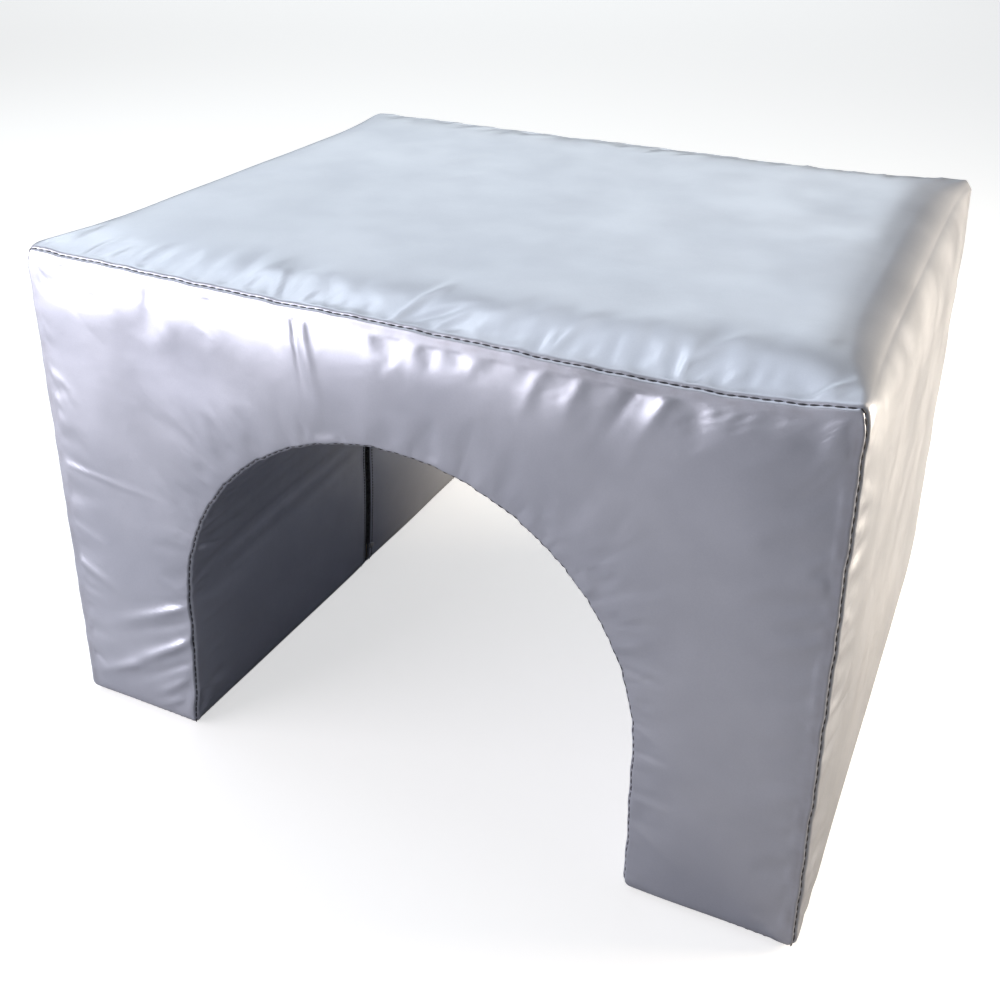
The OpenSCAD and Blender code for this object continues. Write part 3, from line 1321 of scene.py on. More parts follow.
@dataclass(frozen=True)
class PearlVinyl:
    """Coated fabric with a pearl-grey metallic face.

    Attributes:
        name: Name of the material.
        light: Colour where the coating lies thick.
        dark: Colour where it lies thin.
        seam_shade_colour: Colour of the painted shade laid beside the seams.
        metallic: Share of metal flake in the coating.
        roughness: Lowest and highest roughness.
        coat: Weight of the clear top coat.
        coat_roughness: Its roughness.
    """

    name: str
    light: tuple[float, float, float] = (0.59, 0.62, 0.71)
    dark: tuple[float, float, float] = (0.51, 0.54, 0.63)
    seam_shade_colour: tuple[float, float, float] = (0.34, 0.34, 0.38)
    metallic: float = 0.5
    roughness: tuple[float, float] = (0.28, 0.38)
    coat: float = 0.4
    coat_roughness: float = 0.27

    def make(self, effects: Effects) -> Material:
        """Builds the material from the shared effects.

        Args:
            effects: The shared node groups.

        Returns:
            The material.
        """
        material, sheet, surface, place = start_material(self.name)
        cloth = sheet.add("ShaderNodeUVMap", uv_map="cloth").outputs["UV"]
        seam = sheet.add("ShaderNodeAttribute", attribute_name="seam_near").outputs["Fac"]
        tone = effects.blotches(sheet, place, 9.0)
        speck = effects.blotches(sheet, place, 900.0, -0.12, 0.12)
        shade = sheet.math("ADD", tone, speck)
        colour = mix_colour(sheet, shade, self.light, self.dark)
        # Painted shade: the colour darkens in patches beside every seam, where the seam creases lie in
        # shade.
        shade_patches = effects.blotches(sheet, place, 60.0, 0.05, 0.5)
        seam_shade = sheet.math("MULTIPLY", seam, shade_patches)
        colour = mix_colour(sheet, seam_shade, colour, self.seam_shade_colour)
        sheet.feed(surface, {"Base Color": colour})
        low, high = self.roughness
        finish = effects.blotches(sheet, place, 22.0, low, high)
        handled = sheet.math("ADD", finish, sheet.math("MULTIPLY", seam, 0.06))
        sheet.feed(
            surface,
            {
                "Roughness": handled,
                "Metallic": self.metallic,
                "Coat Weight": self.coat,
                "Coat Roughness": self.coat_roughness,
            },
        )
        grain = sheet.group(effects.grain, {"Vector": place, "Cells per metre": 1500.0, "Pores": 0.8})
        weave = sheet.group(effects.weave, {"Vector": cloth, "Yarn": 0.9 * MM})
        relief = sheet.math("ADD", grain, sheet.math("MULTIPLY", weave, 0.5))
        fine = sheet.add("ShaderNodeBump", {"Strength": 0.10, "Distance": 0.15 * MM, "Height": relief})
        creases = sheet.add(
            "ShaderNodeTexNoise",
            {"Vector": place, "Scale": 75.0, "Detail": 2.5, "Roughness": 0.5, "Distortion": 0.4},
        )
        soft = sheet.add(
            "ShaderNodeBump",
            {
                "Strength": 0.22,
                "Distance": 0.8 * MM,
                "Height": creases.outputs[0],
                "Normal": fine.outputs["Normal"],
            },
        )
        sheet.feed(surface, {"Normal": soft.outputs["Normal"]})
        return material


@dataclass(frozen=True)
class SewingThread:
    """Twisted polyester thread."""

    name: str = "slate sewing thread"
    light: tuple[float, float, float] = (0.055, 0.055, 0.075)
    dark: tuple[float, float, float] = (0.02, 0.02, 0.03)

    def make(self, effects: Effects) -> Material:
        """Builds the material from the shared effects.

        Args:
            effects: The shared node groups.

        Returns:
            The material.
        """
        material, sheet, surface, place = start_material(self.name)
        fibre = effects.blotches(sheet, place, 1500.0)
        colour = mix_colour(sheet, fibre, self.light, self.dark)
        sheet.feed(surface, {"Base Color": colour, "Roughness": 0.55, "Sheen Weight": 0.25})
        twist = sheet.add(
            "ShaderNodeTexWave",
            {"Vector": place, "Scale": 900.0, "Distortion": 1.5},
            bands_direction="DIAGONAL",
        )
        sheet.emboss(surface, twist.outputs["Fac"], Strength=0.5, Distance=0.1 * MM)
        return material


@dataclass(frozen=True)
class WovenTape:
    """Woven polyester zip tape with fine ribs."""

    name: str = "black zip tape"
    light: tuple[float, float, float] = (0.035, 0.035, 0.04)
    dark: tuple[float, float, float] = (0.012, 0.012, 0.014)

    def make(self, effects: Effects) -> Material:
        """Builds the material from the shared effects.

        Args:
            effects: The shared node groups.

        Returns:
            The material.
        """
        material, sheet, surface, place = start_material(self.name)
        cloth = sheet.add("ShaderNodeUVMap", uv_map="cloth").outputs["UV"]
        weave = sheet.group(effects.weave, {"Vector": cloth, "Yarn": 0.5 * MM})
        tone = effects.blotches(sheet, place, 200.0, 0.0, 0.6)
        shade = sheet.math("MULTIPLY", weave, tone)
        colour = mix_colour(sheet, shade, self.dark, self.light)
        sheet.feed(surface, {"Base Color": colour, "Roughness": 0.8, "Sheen Weight": 0.3})
        sheet.emboss(surface, weave, Strength=0.7, Distance=0.2 * MM)
        return material


@dataclass(frozen=True)
class CoilPlastic:
    """Nylon monofilament of the zip's coils."""

    name: str = "black nylon coil"
    light: tuple[float, float, float] = (0.05, 0.05, 0.055)
    dark: tuple[float, float, float] = (0.02, 0.02, 0.022)

    def make(self, effects: Effects) -> Material:
        """Builds the material from the shared effects.

        Args:
            effects: The shared node groups.

        Returns:
            The material.
        """
        material, sheet, surface, place = start_material(self.name)
        tone = effects.blotches(sheet, place, 120.0)
        colour = mix_colour(sheet, tone, self.light, self.dark)
        sheet.feed(surface, {"Base Color": colour})
        finish = effects.blotches(sheet, place, 400.0, 0.22, 0.4)
        sheet.feed(surface, {"Roughness": finish})
        grain = sheet.group(effects.grain, {"Vector": place, "Cells per metre": 5000.0, "Pores": 0.3})
        sheet.emboss(surface, grain, Strength=0.1, Distance=0.05 * MM)
        return material


@dataclass(frozen=True)
class NickelPlate:
    """Die-cast zinc with a tumbled nickel plate, rubbed bright on its edges."""

    name: str = "nickel plate"
    bright: tuple[float, float, float] = (0.66, 0.65, 0.62)
    dull: tuple[float, float, float] = (0.42, 0.41, 0.40)

    def make(self, effects: Effects) -> Material:
        """Builds the material from the shared effects.

        Args:
            effects: The shared node groups.

        Returns:
            The material.
        """
        material, sheet, surface, place = start_material(self.name)
        tarnish = effects.blotches(sheet, place, 350.0, 0.0, 0.8)
        edge = sheet.add("ShaderNodeNewGeometry").outputs["Pointiness"]
        worn = sheet.add(
            "ShaderNodeMapRange", {"Value": edge, "From Min": 0.5, "From Max": 0.58}
        ).outputs["Result"]
        shade = sheet.math("SUBTRACT", tarnish, worn)
        colour = mix_colour(sheet, sheet.math("MAXIMUM", shade, 0.0), self.bright, self.dull)
        sheet.feed(surface, {"Base Color": colour, "Metallic": 1.0})
        finish = effects.blotches(sheet, place, 700.0, 0.22, 0.42)
        sheet.feed(surface, {"Roughness": finish})
        grain = sheet.group(effects.grain, {"Vector": place, "Cells per metre": 2500.0, "Pores": 0.5})
        sheet.emboss(surface, grain, Strength=0.12, Distance=0.05 * MM)
        return material


@dataclass(frozen=True)
class FoamCells:
    """Firm open-cell foam."""

    name: str = "cream foam"
    light: tuple[float, float, float] = (0.80, 0.72, 0.50)
    dark: tuple[float, float, float] = (0.62, 0.53, 0.32)

    def make(self, effects: Effects) -> Material:
        """Builds the material from the shared effects.

        Args:
            effects: The shared node groups.

        Returns:
            The material.
        """
        material, sheet, surface, place = start_material(self.name)
        cells = sheet.add("ShaderNodeTexVoronoi", {"Vector": place, "Scale": 900.0})
        colour = mix_colour(sheet, cells.outputs["Distance"], self.dark, self.light)
        sheet.feed(surface, {"Base Color": colour, "Roughness": 0.9})
        sheet.emboss(surface, cells.outputs["Distance"], Strength=0.8, Distance=0.5 * MM)
        return material


# ---- the sewn panels


@dataclass(frozen=True)
class Palette:
    """The finished materials, by the part that wears them."""

    cover: Material
    thread: Material
    tape: Material
    coil: Material
    nickel: Material
    foam: Material

    @classmethod
    def make(cls) -> "Palette":
        """Builds every material once.

        Returns:
            The palette.
        """
        effects = Effects()
        return cls(
            cover=PearlVinyl("pearl grey vinyl").make(effects),
            thread=SewingThread().make(effects),
            tape=WovenTape().make(effects),
            coil=CoilPlastic().make(effects),
            nickel=NickelPlate().make(effects),
            foam=FoamCells().make(effects),
        )


@dataclass
class CoverSet:
    """Builds and dresses the cover's seven panels."""

    cover: Cover
    palette: Palette
    slack: dict[str, tuple[Array, Array, Array]]
    edge_scallop: Scallop = Scallop(seed=5, height=0.35 * MM)
    arch_scallop: Scallop = Scallop(seed=9, height=0.4 * MM)
    cloth_share: float = 0.92
    strip_waves: float = 0.6
    strip_wrinkles: float = 0.7
    end_wrinkles: float = 0.45
    lining_wrinkles: float = 0.5

    def finish(self, grid: PanelGrid, node: str, fill: float, seam_shade: float = 5 * MM) -> Object:
        """Turns a panel's grid into a closed, dressed piece that stands for its CAD node.

        Args:
            grid: The panel's shaped grid.
            node: The CAD node that it replaces, which also names the piece.
            fill: How tight the foam holds it, 0 to 1; not used.
            seam_shade: How far from the seam the painted shade, and the slight extra roughness, reach.

        Returns:
            The piece.
        """
        name = f"cover_{node}"
        mesh = shell_mesh(name, grid.points, self.cover.thickness * self.cloth_share, grid.is_inside_out())
        u, v, distance = (np.tile(part.ravel(), 2) for part in (grid.u, grid.v, grid.seam_distance))
        set_uv(mesh, u, v)
        # seam_near drives a painted shade that darkens towards each seam, and a slightly higher roughness
        # there.
        set_float(mesh, "seam_near", np.exp(-np.clip(distance, 0, None) / seam_shade))
        piece = link(name, mesh)
        mesh.materials.append(self.palette.cover)
        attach(piece, BODY)
        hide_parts(node)
        LOG.info("%s: %d points", name, len(mesh.vertices))
        return piece

    def gather(self, end: End, runs: tuple[PuckerRun, ...], grid: PanelGrid, height: Array) -> None:
        """Adds the puckers of one end seam to the strip or to a half of the lining.

        Args:
            end: Which end of the tunnel.
            runs: The runs of puckers.
            grid: The panel's grid.
            height: Height field that is added to.
        """
        for run in runs:
            for fold in run.folds():
                start, stop = (
                    (
                        along, end.value * (self.cover.sizes.half_d - away)
                    ) for along, away in (fold.start, fold.end)
                )
                Fold(start, stop, fold.width, fold.height).raise_on(grid.u, grid.v, height)

    def wrinkle(self, name: str, place: Array, across: Array) -> Array | float:
        """Reads the simulated wrinkles of a face.

        Args:
            name: "strip", "lining", "front" or "back".
            place: Places along the outer skin, one for each row of the panel's grid.
            across: Places across the face, one for each column, or for each point.

        Returns:
            The height at each point, or 0 if nothing was simulated.
        """
        if name not in self.slack:
            return 0.0
        rows, columns, height = self.slack[name]
        along = hermite(place, rows, height)
        if across.ndim == 1:
            return hermite(across, columns, along.T).T
        return np.stack([hermite(across[i], columns, along[i]) for i in range(len(place))])

    @staticmethod
    def wander(
        grid: PanelGrid,
        place: Array,
        scallop: Scallop,
        distance: Array,
        direction: Array,
    ) -> None:
        """Moves the points beside a seam with the seam's own wandering."""
        hold = np.exp(-((np.clip(distance - SEAM_ACROSS, 0, None) / scallop.reach) ** 2))
        grid.points = grid.points + direction * (scallop.at(place) * hold)[..., None]

    def outer_strip(self) -> Object:
        """Builds the strip that runs from the left foot over the top to the right foot.

        Returns:
            The piece.
        """
        cover, s = self.cover, self.cover.sizes
        grid = cover.strip_grid()
        from_floor = np.minimum(grid.u, s.path_length - grid.u)
        off_corner = np.abs(from_floor - s.height)
        rise = cover.pillow(grid.seam_distance, 75 * MM) * cover.pillow(off_corner + 12 * MM, 70 * MM)
        grid.fill(cover.crown * rise * cover.pillow(from_floor, 60 * MM))
        height = self.strip_waves * Undulation(seed=21).at(grid.u, grid.v)
        for end in End:
            self.gather(end, (STRIP_PUCKERS[end], SEAM_GATHERS[end]), grid, height)
        for fold in TOP_FOLDS + SIDE_FOLDS:
            fold.raise_on(grid.u, grid.v, height)
        grid.lift(height + self.strip_wrinkles * self.wrinkle("strip", grid.u[:, 0], grid.v[0]))
        self.wander(grid, grid.u, self.edge_scallop, grid.seam_distance, grid.outward)
        grid.points = cover.settle(grid.points)
        return self.finish(grid, "outer_strip", 0.9)

    def end_panel(self, end: End) -> Object:
        """Builds the front or the back panel.

        Args:
            end: Which end of the tunnel.

        Returns:
            The piece.
        """
        cover, s = self.cover, self.cover.sizes
        grid = cover.end_grid(end)
        a, _ = cover.columns()
        place = np.repeat(a[:, None], grid.u.shape[1], 1)
        height = Undulation(seed=33 + end.value).at(grid.u, grid.v)
        outer, normal = cover.outline.outer(a, np.full_like(a, cover.outline.end_corner_r))
        for fold in END_PUCKERS[end].folds():
            self.lean_in(fold, a, outer, normal).raise_on(grid.u, grid.v, height)
        inner, into_foam = cover.outline.inner(a)
        for fold in ARCH_PUCKERS[end].folds():
            self.lean_in(fold, a, inner, -into_foam).raise_on(grid.u, grid.v, height)
        for fold in FRONT_FOLDS if end is End.FRONT else BACK_FOLDS:
            fold.raise_on(grid.u, grid.v, height)
        away = np.linalg.norm(grid.points[..., [0, 2]] - inner[:, None], axis=2)
        share = np.clip(away / np.linalg.norm(outer - inner, axis=1)[:, None], 0, 1)
        grid.lift(height + self.end_wrinkles * self.wrinkle(end.name.lower(), a, share))
        sides = cover.pillow(s.half_w - np.abs(grid.u), 60 * MM)
        top = cover.pillow(s.height - grid.v, 52 * MM)
        high = smoothstep(0.3 * s.height, 0.95 * s.height, grid.v)
        round_arch = cover.pillow(away, 45 * MM)
        grid.fill(
            cover.crown * (0.5 + 0.3 * high) * sides * top * round_arch * cover.pillow(grid.v, 50 * MM)
        )
        outside = np.linalg.norm(grid.points[..., [0, 2]] - outer[:, None], axis=2)
        inside = np.linalg.norm(grid.points[..., [0, 2]] - inner[:, None], axis=2)
        self.wander(grid, place, self.edge_scallop, outside, in_space(normal, 0.0)[:, None])
        self.wander(grid, place, self.arch_scallop, inside, -in_space(into_foam, 0.0)[:, None])
        grid.points = cover.settle(grid.points)
        return self.finish(grid, f"{end.name.lower()}_panel", 0.9)

    @staticmethod
    def lean_in(fold: Fold, a: Array, edge: Array, normal: Array) -> Fold:
        """Turns a pucker given along and away from a seam into the end panel's own X and Z.

        Args:
            fold: The pucker, along and away from the seam.
            a: Places along the outer skin.
            edge: The seam, as X and Z at each place.
            normal: Direction out of the panel at each place.

        Returns:
            The same pucker in the panel's own X and Z.
        """
        def place(along: float, away: float) -> tuple[float, float]:
            """Returns X and Z of a place given along and away from the seam."""
            x, z = (np.interp(along, a, edge[:, k] - away * normal[:, k]) for k in (0, 1))
            return float(x), float(z)

        return Fold(place(*fold.start), place(*fold.end), fold.width, fold.height)

    def lining(self, end: End) -> Object:
        """Builds the front or the back half of the tunnel's lining.

        Args:
            end: Which end of the tunnel.

        Returns:
            The piece.
        """
        cover, s = self.cover, self.cover.sizes
        grid = cover.lining_grid(end)
        a, _ = cover.columns()
        height = Undulation(seed=47 + end.value).at(grid.u, grid.v)
        self.gather(end, (LINING_PUCKERS[end], SEAM_GATHERS[end]), grid, height)
        for fold in LINING_FOLDS if end is End.FRONT else ():
            fold.raise_on(grid.u, grid.v, height)
        grid.lift(height + self.lining_wrinkles * self.wrinkle("lining", a, grid.v))
        place = np.repeat(a[:, None], grid.u.shape[1], 1)
        self.wander(grid, place, self.arch_scallop, s.half_d - end.value * grid.v, grid.outward)
        grid.points = cover.settle(grid.points)
        return self.finish(grid, f"{end.name.lower()}_lining", 0.8)

    def base_panel(self, side: int) -> Object:
        """Builds the panel under one foot.

        Args:
            side: -1 for the left foot, 1 for the right.

        Returns:
            The piece.
        """
        grid = self.cover.base_grid(side)
        # Under a foot the painted seam shade reaches 12 mm in.
        return self.finish(grid, "left_base_panel" if side < 0 else "right_base_panel", 0.9, 12 * MM)


def folds_mm(rows: list[tuple[float, ...]], along: float = 0) -> list[Fold]:
    """Makes folds from rows of millimetres.

    Args:
        rows: For each fold, the two coordinates of its start, the two of its end, the half-width of
            its crest and its height.
        along: Where the first coordinate counts from.

    Returns:
        The folds.
    """
    return [
        Fold(((along + u) * MM, v * MM), ((along + end_u) * MM, end_v * MM), width * MM, height * MM)
        for u, v, end_u, end_v, width, height in rows
    ]


def both_ends(front_seed: int, back_seed: int, **sizes) -> dict[End, PuckerRun]:
    """Makes a run of puckers for each end of the tunnel, alike but for the seed.

    Args:
        front_seed: Seed of the front run.
        back_seed: Seed of the back run.
        **sizes: Fields that both runs share.

    Returns:
        The two runs.
    """
    return {
        End.FRONT: PuckerRun(seed=front_seed, **sizes),
        End.BACK: PuckerRun(seed=back_seed, **sizes),
    }


TOP_MIDDLE = 700
RUN = {"start": 30 * MM, "end": 1370 * MM}
STRIP_PUCKERS = both_ends(11, 12, **RUN)
SEAM_GATHERS = both_ends(
    31,
    32,
    **RUN,
    pitch=8 * MM,
    length=(7 * MM, 20 * MM),
    width=(1.9 * MM, 3.2 * MM),
    height=(0.25 * MM, 0.9 * MM),
)
END_PUCKERS = {
    End.FRONT: PuckerRun(seed=13, **RUN, pitch=24 * MM, height=(0.15 * MM, 0.6 * MM)),
    End.BACK: PuckerRun(seed=14, **RUN, pitch=22 * MM, height=(0.15 * MM, 0.7 * MM)),
}
ARCH_PUCKERS = {
    End.FRONT: PuckerRun(seed=15, **RUN, pitch=30 * MM, height=(0.1 * MM, 0.4 * MM)),
    End.BACK: PuckerRun(seed=16, **RUN, pitch=26 * MM, height=(0.1 * MM, 0.5 * MM)),
}
LINING_PUCKERS = both_ends(
    17, 18, start=20 * MM, end=780 * MM, pitch=14 * MM, length=(12 * MM, 60 * MM)
)
TOP_FOLDS = folds_mm(
    [
        (-84, -247, -98, -205, 2.8, 2.5),
        (-74, -247, -80, -212, 2.6, 2.0),
        (-64, -247, -60, -225, 2.4, 1.4),
        (-48, -247, -40, -222, 2.6, 1.6),
        (4, -248, 24, -185, 3.6, 3.2),
        (12, -247, 60, -205, 3.4, -1.7),
        (34, -247, 44, -225, 2.6, 1.6),
        (107, -248, 112, -212, 2.6, 1.9),
        (112, -246, 126, -200, 2.8, 1.7),
        (192, -248, 192, -205, 3.6, 3.5),
        (193, -232, 222, -185, 5.0, 1.9),
        (199, -248, 206, -226, 2.4, -1.7),
        (216, -247, 230, -222, 3.0, 1.7),
        (240, -247, 250, -228, 2.8, 1.4),
        (268, -248, 290, -215, 3.4, 2.3),
        (-160, -247, -162, -205, 4.5, 1.0),
        (-205, -247, -196, -195, 5.0, 0.9),
        (-245, -247, -238, -200, 4.5, 1.3),
        (-130, 60, -90, 140, 7.0, 0.7),
        (-110, 20, -30, 120, 8.0, 0.6),
    ],
    along=TOP_MIDDLE,
)
SIDE_FOLDS = folds_mm(
    [
        (1100, -247, 1060, -205, 4.5, 1.4),
        (1150, -247, 1128, -212, 4.0, 1.2),
        (1210, -247, 1192, -190, 4.5, 1.3),
        (1285, -247, 1262, -205, 4.0, 1.1),
        (1340, -247, 1330, -215, 4.0, 1.2),
    ]
)
FRONT_FOLDS = folds_mm(
    [
        (-67, 398, -57, 322, 2.0, -1.5),
        (-61, 396, -45, 312, 4.6, 1.6),
        (-170, 396, -166, 335, 6.0, 0.9),
        (-186, 396, -188, 345, 5.0, -0.8),
        (-215, 396, -212, 340, 7.0, 0.7),
        (191, 396, 165, 325, 6.0, 1.1),
        (172, 396, 146, 330, 5.5, -0.8),
        (138, 396, 124, 340, 6.0, 0.9),
        (112, 396, 96, 340, 6.0, 0.8),
        (-292, 223, -186, 212, 2.4, 1.2),
        (-184, 120, -275, 76, 5.0, 3.0),
        (-184, 106, -258, 72, 4.0, -1.3),
        (-185, 87, -272, 30, 5.4, 4.2),
        (-232, 52, -299, 18, 5.0, 2.6),
        (-186, 66, -256, 22, 4.4, -2.0),
        (-188, 48, -232, 14, 4.2, 2.4),
        (-194, 26, -230, 6, 4.0, 2.0),
        (-297, 138, -244, 112, 5.0, 2.0),
        (-297, 106, -258, 100, 5.0, 1.3),
        (-298, 46, -272, 34, 2.4, -2.2),
        (298, 250, 250, 226, 6.0, 0.8),
        (190, 60, 232, 30, 5.0, 0.9),
    ]
)
BACK_FOLDS = folds_mm(
    [
        (-120, 396, -104, 330, 5.0, 1.3),
        (60, 396, 44, 340, 4.0, 1.2),
        (210, 396, 222, 330, 5.0, 1.1),
        (184, 96, 262, 52, 5.0, 1.8),
        (-184, 70, -250, 36, 5.0, 1.6),
    ]
)
LINING_FOLDS = folds_mm(
    [
        (178, -247, 160, -208, 2.8, -2.6),
        (196, -247, 202, -205, 4.0, 2.0),
        (262, -247, 240, -215, 3.0, -2.2),
        (330, -247, 318, -218, 3.0, -1.8),
        (40, -247, 22, -205, 4.0, 2.2),
        (30, -247, 44, -200, 5.0, -1.8),
    ]
)

# ---- foam


@dataclass
class FoamCore:
    """The foam block inside the cover, cut in one piece."""

    sizes: BlockSizes
    palette: Palette
    clearance: float = 4.5 * MM
    bevel: float = 9 * MM
    corner_r: float = 36 * MM

    def build(self) -> Object:
        """Builds the foam from the arch outline, with its edges eased.

        Returns:
            The piece.
        """
        s = self.sizes
        outline = Outline(s)
        a = np.linspace(0, s.path_length, 281)
        inner, into_foam = outline.inner(a)
        outer, normal = outline.outer(a, np.full_like(a, self.corner_r))
        ease = np.linspace(0, math.pi / 2, 5)
        rows = []
        for contour, inwards, ends in ((outer, -normal, (-1, 1)), (inner, into_foam, (1, -1))):
            for end in ends:
                for turn in ease if end < 0 else ease[::-1]:
                    inset = self.clearance + self.bevel * (1 - math.sin(turn))
                    depth = s.half_d - self.clearance - self.bevel * (1 - math.cos(turn))
                    rows.append(in_space(contour + inwards * inset, end * depth))
        ring = np.stack(rows, axis=1)
        ring[..., 2] = np.maximum(ring[..., 2], self.clearance)
        ring = Cover(s, outline).settle(ring)
        n, m = ring.shape[:2]
        index = np.arange(n * m).reshape(n, m)
        after = np.roll(index, -1, axis=1)
        quads = np.stack([index[:-1], after[:-1], after[1:], index[1:]], axis=-1).reshape(-1, 4)
        mesh = mesh_from_arrays("foam", ring.reshape(-1, 3), quads)
        shape = bmesh.new()
        shape.from_mesh(mesh)
        bmesh.ops.holes_fill(shape, edges=[e for e in shape.edges if e.is_boundary], sides=0)
        bmesh.ops.recalc_face_normals(shape, faces=shape.faces)
        shape.to_mesh(mesh)
        shape.free()
        mesh.materials.append(self.palette.foam)
        piece = link("foam_block", mesh)
        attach(piece, BODY)
        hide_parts("foam_core")
        LOG.info("foam_block: %d points", len(mesh.vertices))
        return piece


# ---- stitches and zip coils


def lay_along_path(sheet: NodeSheet, given: Node, result: Node, each: dict) -> None:
    """Ends a geometry tree: copies of a shape along the path, turned to face out of the cloth.

    Args:
        sheet: The tree's node sheet.
        given: Its input node, with Path, Pitch and Material.
        result: Its output node.
        each: The shape, as Instance, and its Scale where that varies.
    """
    path = sheet.add("GeometryNodeMeshToCurve", {"Mesh": given.outputs["Path"]})
    spaced = sheet.add(
        "GeometryNodeResampleCurve",
        {"Curve": path.outputs["Curve"], "Length": given.outputs["Pitch"]},
        mode="LENGTH",
    )
    facing = sheet.add("GeometryNodeInputNamedAttribute", {"Name": "facing"}, data_type="FLOAT_VECTOR")
    tangent = sheet.add("GeometryNodeInputTangent")
    turned = sheet.add(
        "FunctionNodeAxesToRotation",
        {"Primary Axis": facing.outputs["Attribute"], "Secondary Axis": tangent.outputs["Tangent"]},
        primary_axis="Z",
        secondary_axis="X",
    )
    laid = sheet.add(
        "GeometryNodeInstanceOnPoints",
        {"Points": spaced.outputs["Curve"], "Rotation": turned.outputs["Rotation"], **each},
    )
    real = sheet.add("GeometryNodeRealizeInstances", {"Geometry": laid.outputs["Instances"]})
    smooth = sheet.add("GeometryNodeSetShadeSmooth", {"Geometry": real.outputs["Geometry"]})
    dressed = sheet.add(
        "GeometryNodeSetMaterial",
        {"Geometry": smooth.outputs["Geometry"], "Material": given.outputs["Material"]},
    )
    sheet.tree.links.new(dressed.outputs["Geometry"], result.inputs[0])


def make_stitch_tree() -> NodeTree:
    """Makes the geometry tree that lays stitches along a path with a "facing" attribute.

    Returns:
        The node tree.
    """
    tree, sheet, given, result = new_group(
        "stitch run",
        "GeometryNodeTree",
        {
            "Path": "geometry",
            "Pitch": "float",
            "Stitch length": "float",
            "Thread": "float",
            "Seed": "integer",
            "Material": "material",
        },
        {"Stitches": "geometry"},
    )
    half = sheet.math("MULTIPLY", given.outputs["Stitch length"], 0.5)
    dip = sheet.math("MULTIPLY", given.outputs["Thread"], -0.75)
    rise = sheet.math("MULTIPLY", given.outputs["Thread"], 0.75)
    ends = [
        sheet.add("ShaderNodeCombineXYZ", {"X": sheet.math("MULTIPLY", half, sign), "Z": dip}).outputs[0]
        for sign in (-1.0, 1.0)
    ]
    top = sheet.add("ShaderNodeCombineXYZ", {"Z": rise}).outputs[0]
    bow = sheet.add(
        "GeometryNodeCurveQuadraticBezier",
        {"Resolution": 5, "Start": ends[0], "Middle": top, "End": ends[1]},
    )
    section = sheet.add(
        "GeometryNodeCurvePrimitiveCircle",
        {"Resolution": 6, "Radius": sheet.math("MULTIPLY", given.outputs["Thread"], 0.5)},
    )
    stitch = sheet.add(
        "GeometryNodeCurveToMesh",
        {"Curve": bow.outputs["Curve"], "Profile Curve": section.outputs["Curve"], "Fill Caps": True},
    )
    slack = sheet.add(
        "FunctionNodeRandomValue",
        {"Min": (0.9, 0.92, 0.85), "Max": (1.08, 1.08, 1.15), "Seed": given.outputs["Seed"]},
        data_type="FLOAT_VECTOR",
    )
    lay_along_path(
        sheet, given, result, {"Instance": stitch.outputs["Mesh"], "Scale": slack.outputs["Value"]}
    )
    return tree


def make_coil_tree() -> NodeTree:
    """Makes the geometry tree that lays the oval loops of a zip coil along a path.

    Returns:
        The node tree.
    """
    tree, sheet, given, result = new_group(
        "zip coil",
        "GeometryNodeTree",
        {
            "Path": "geometry",
            "Pitch": "float",
            "Width": "float",
            "Height": "float",
            "Wire": "float",
            "Slant": "float",
            "Material": "material",
        },
        {"Coil": "geometry"},
    )
    loop = sheet.add("GeometryNodeCurvePrimitiveCircle", {"Resolution": 9, "Radius": 0.5})
    wide = sheet.math("SUBTRACT", given.outputs["Width"], given.outputs["Wire"])
    tall = sheet.math("SUBTRACT", given.outputs["Height"], given.outputs["Wire"])
    size = sheet.add("ShaderNodeCombineXYZ", {"X": wide, "Y": tall, "Z": 1.0}).outputs[0]
    upright = sheet.add("ShaderNodeCombineXYZ", {"X": math.pi / 2, "Z": math.pi / 2}).outputs[0]
    flat = sheet.add("GeometryNodeTransform", {"Geometry": loop.outputs["Curve"], "Scale": size})
    stood = sheet.add("GeometryNodeTransform", {"Geometry": flat.outputs["Geometry"], "Rotation": upright})
    lean = sheet.add("ShaderNodeCombineXYZ", {"Z": given.outputs["Slant"]}).outputs[0]
    leant = sheet.add("GeometryNodeTransform", {"Geometry": stood.outputs["Geometry"], "Rotation": lean})
    section = sheet.add(
        "GeometryNodeCurvePrimitiveCircle",
        {"Resolution": 4, "Radius": sheet.math("MULTIPLY", given.outputs["Wire"], 0.5)},
    )
    wire = sheet.add(
        "GeometryNodeCurveToMesh",
        {"Curve": leant.outputs["Geometry"], "Profile Curve": section.outputs["Curve"]},
    )
    lay_along_path(sheet, given, result, {"Instance": wire.outputs["Mesh"]})
    return tree


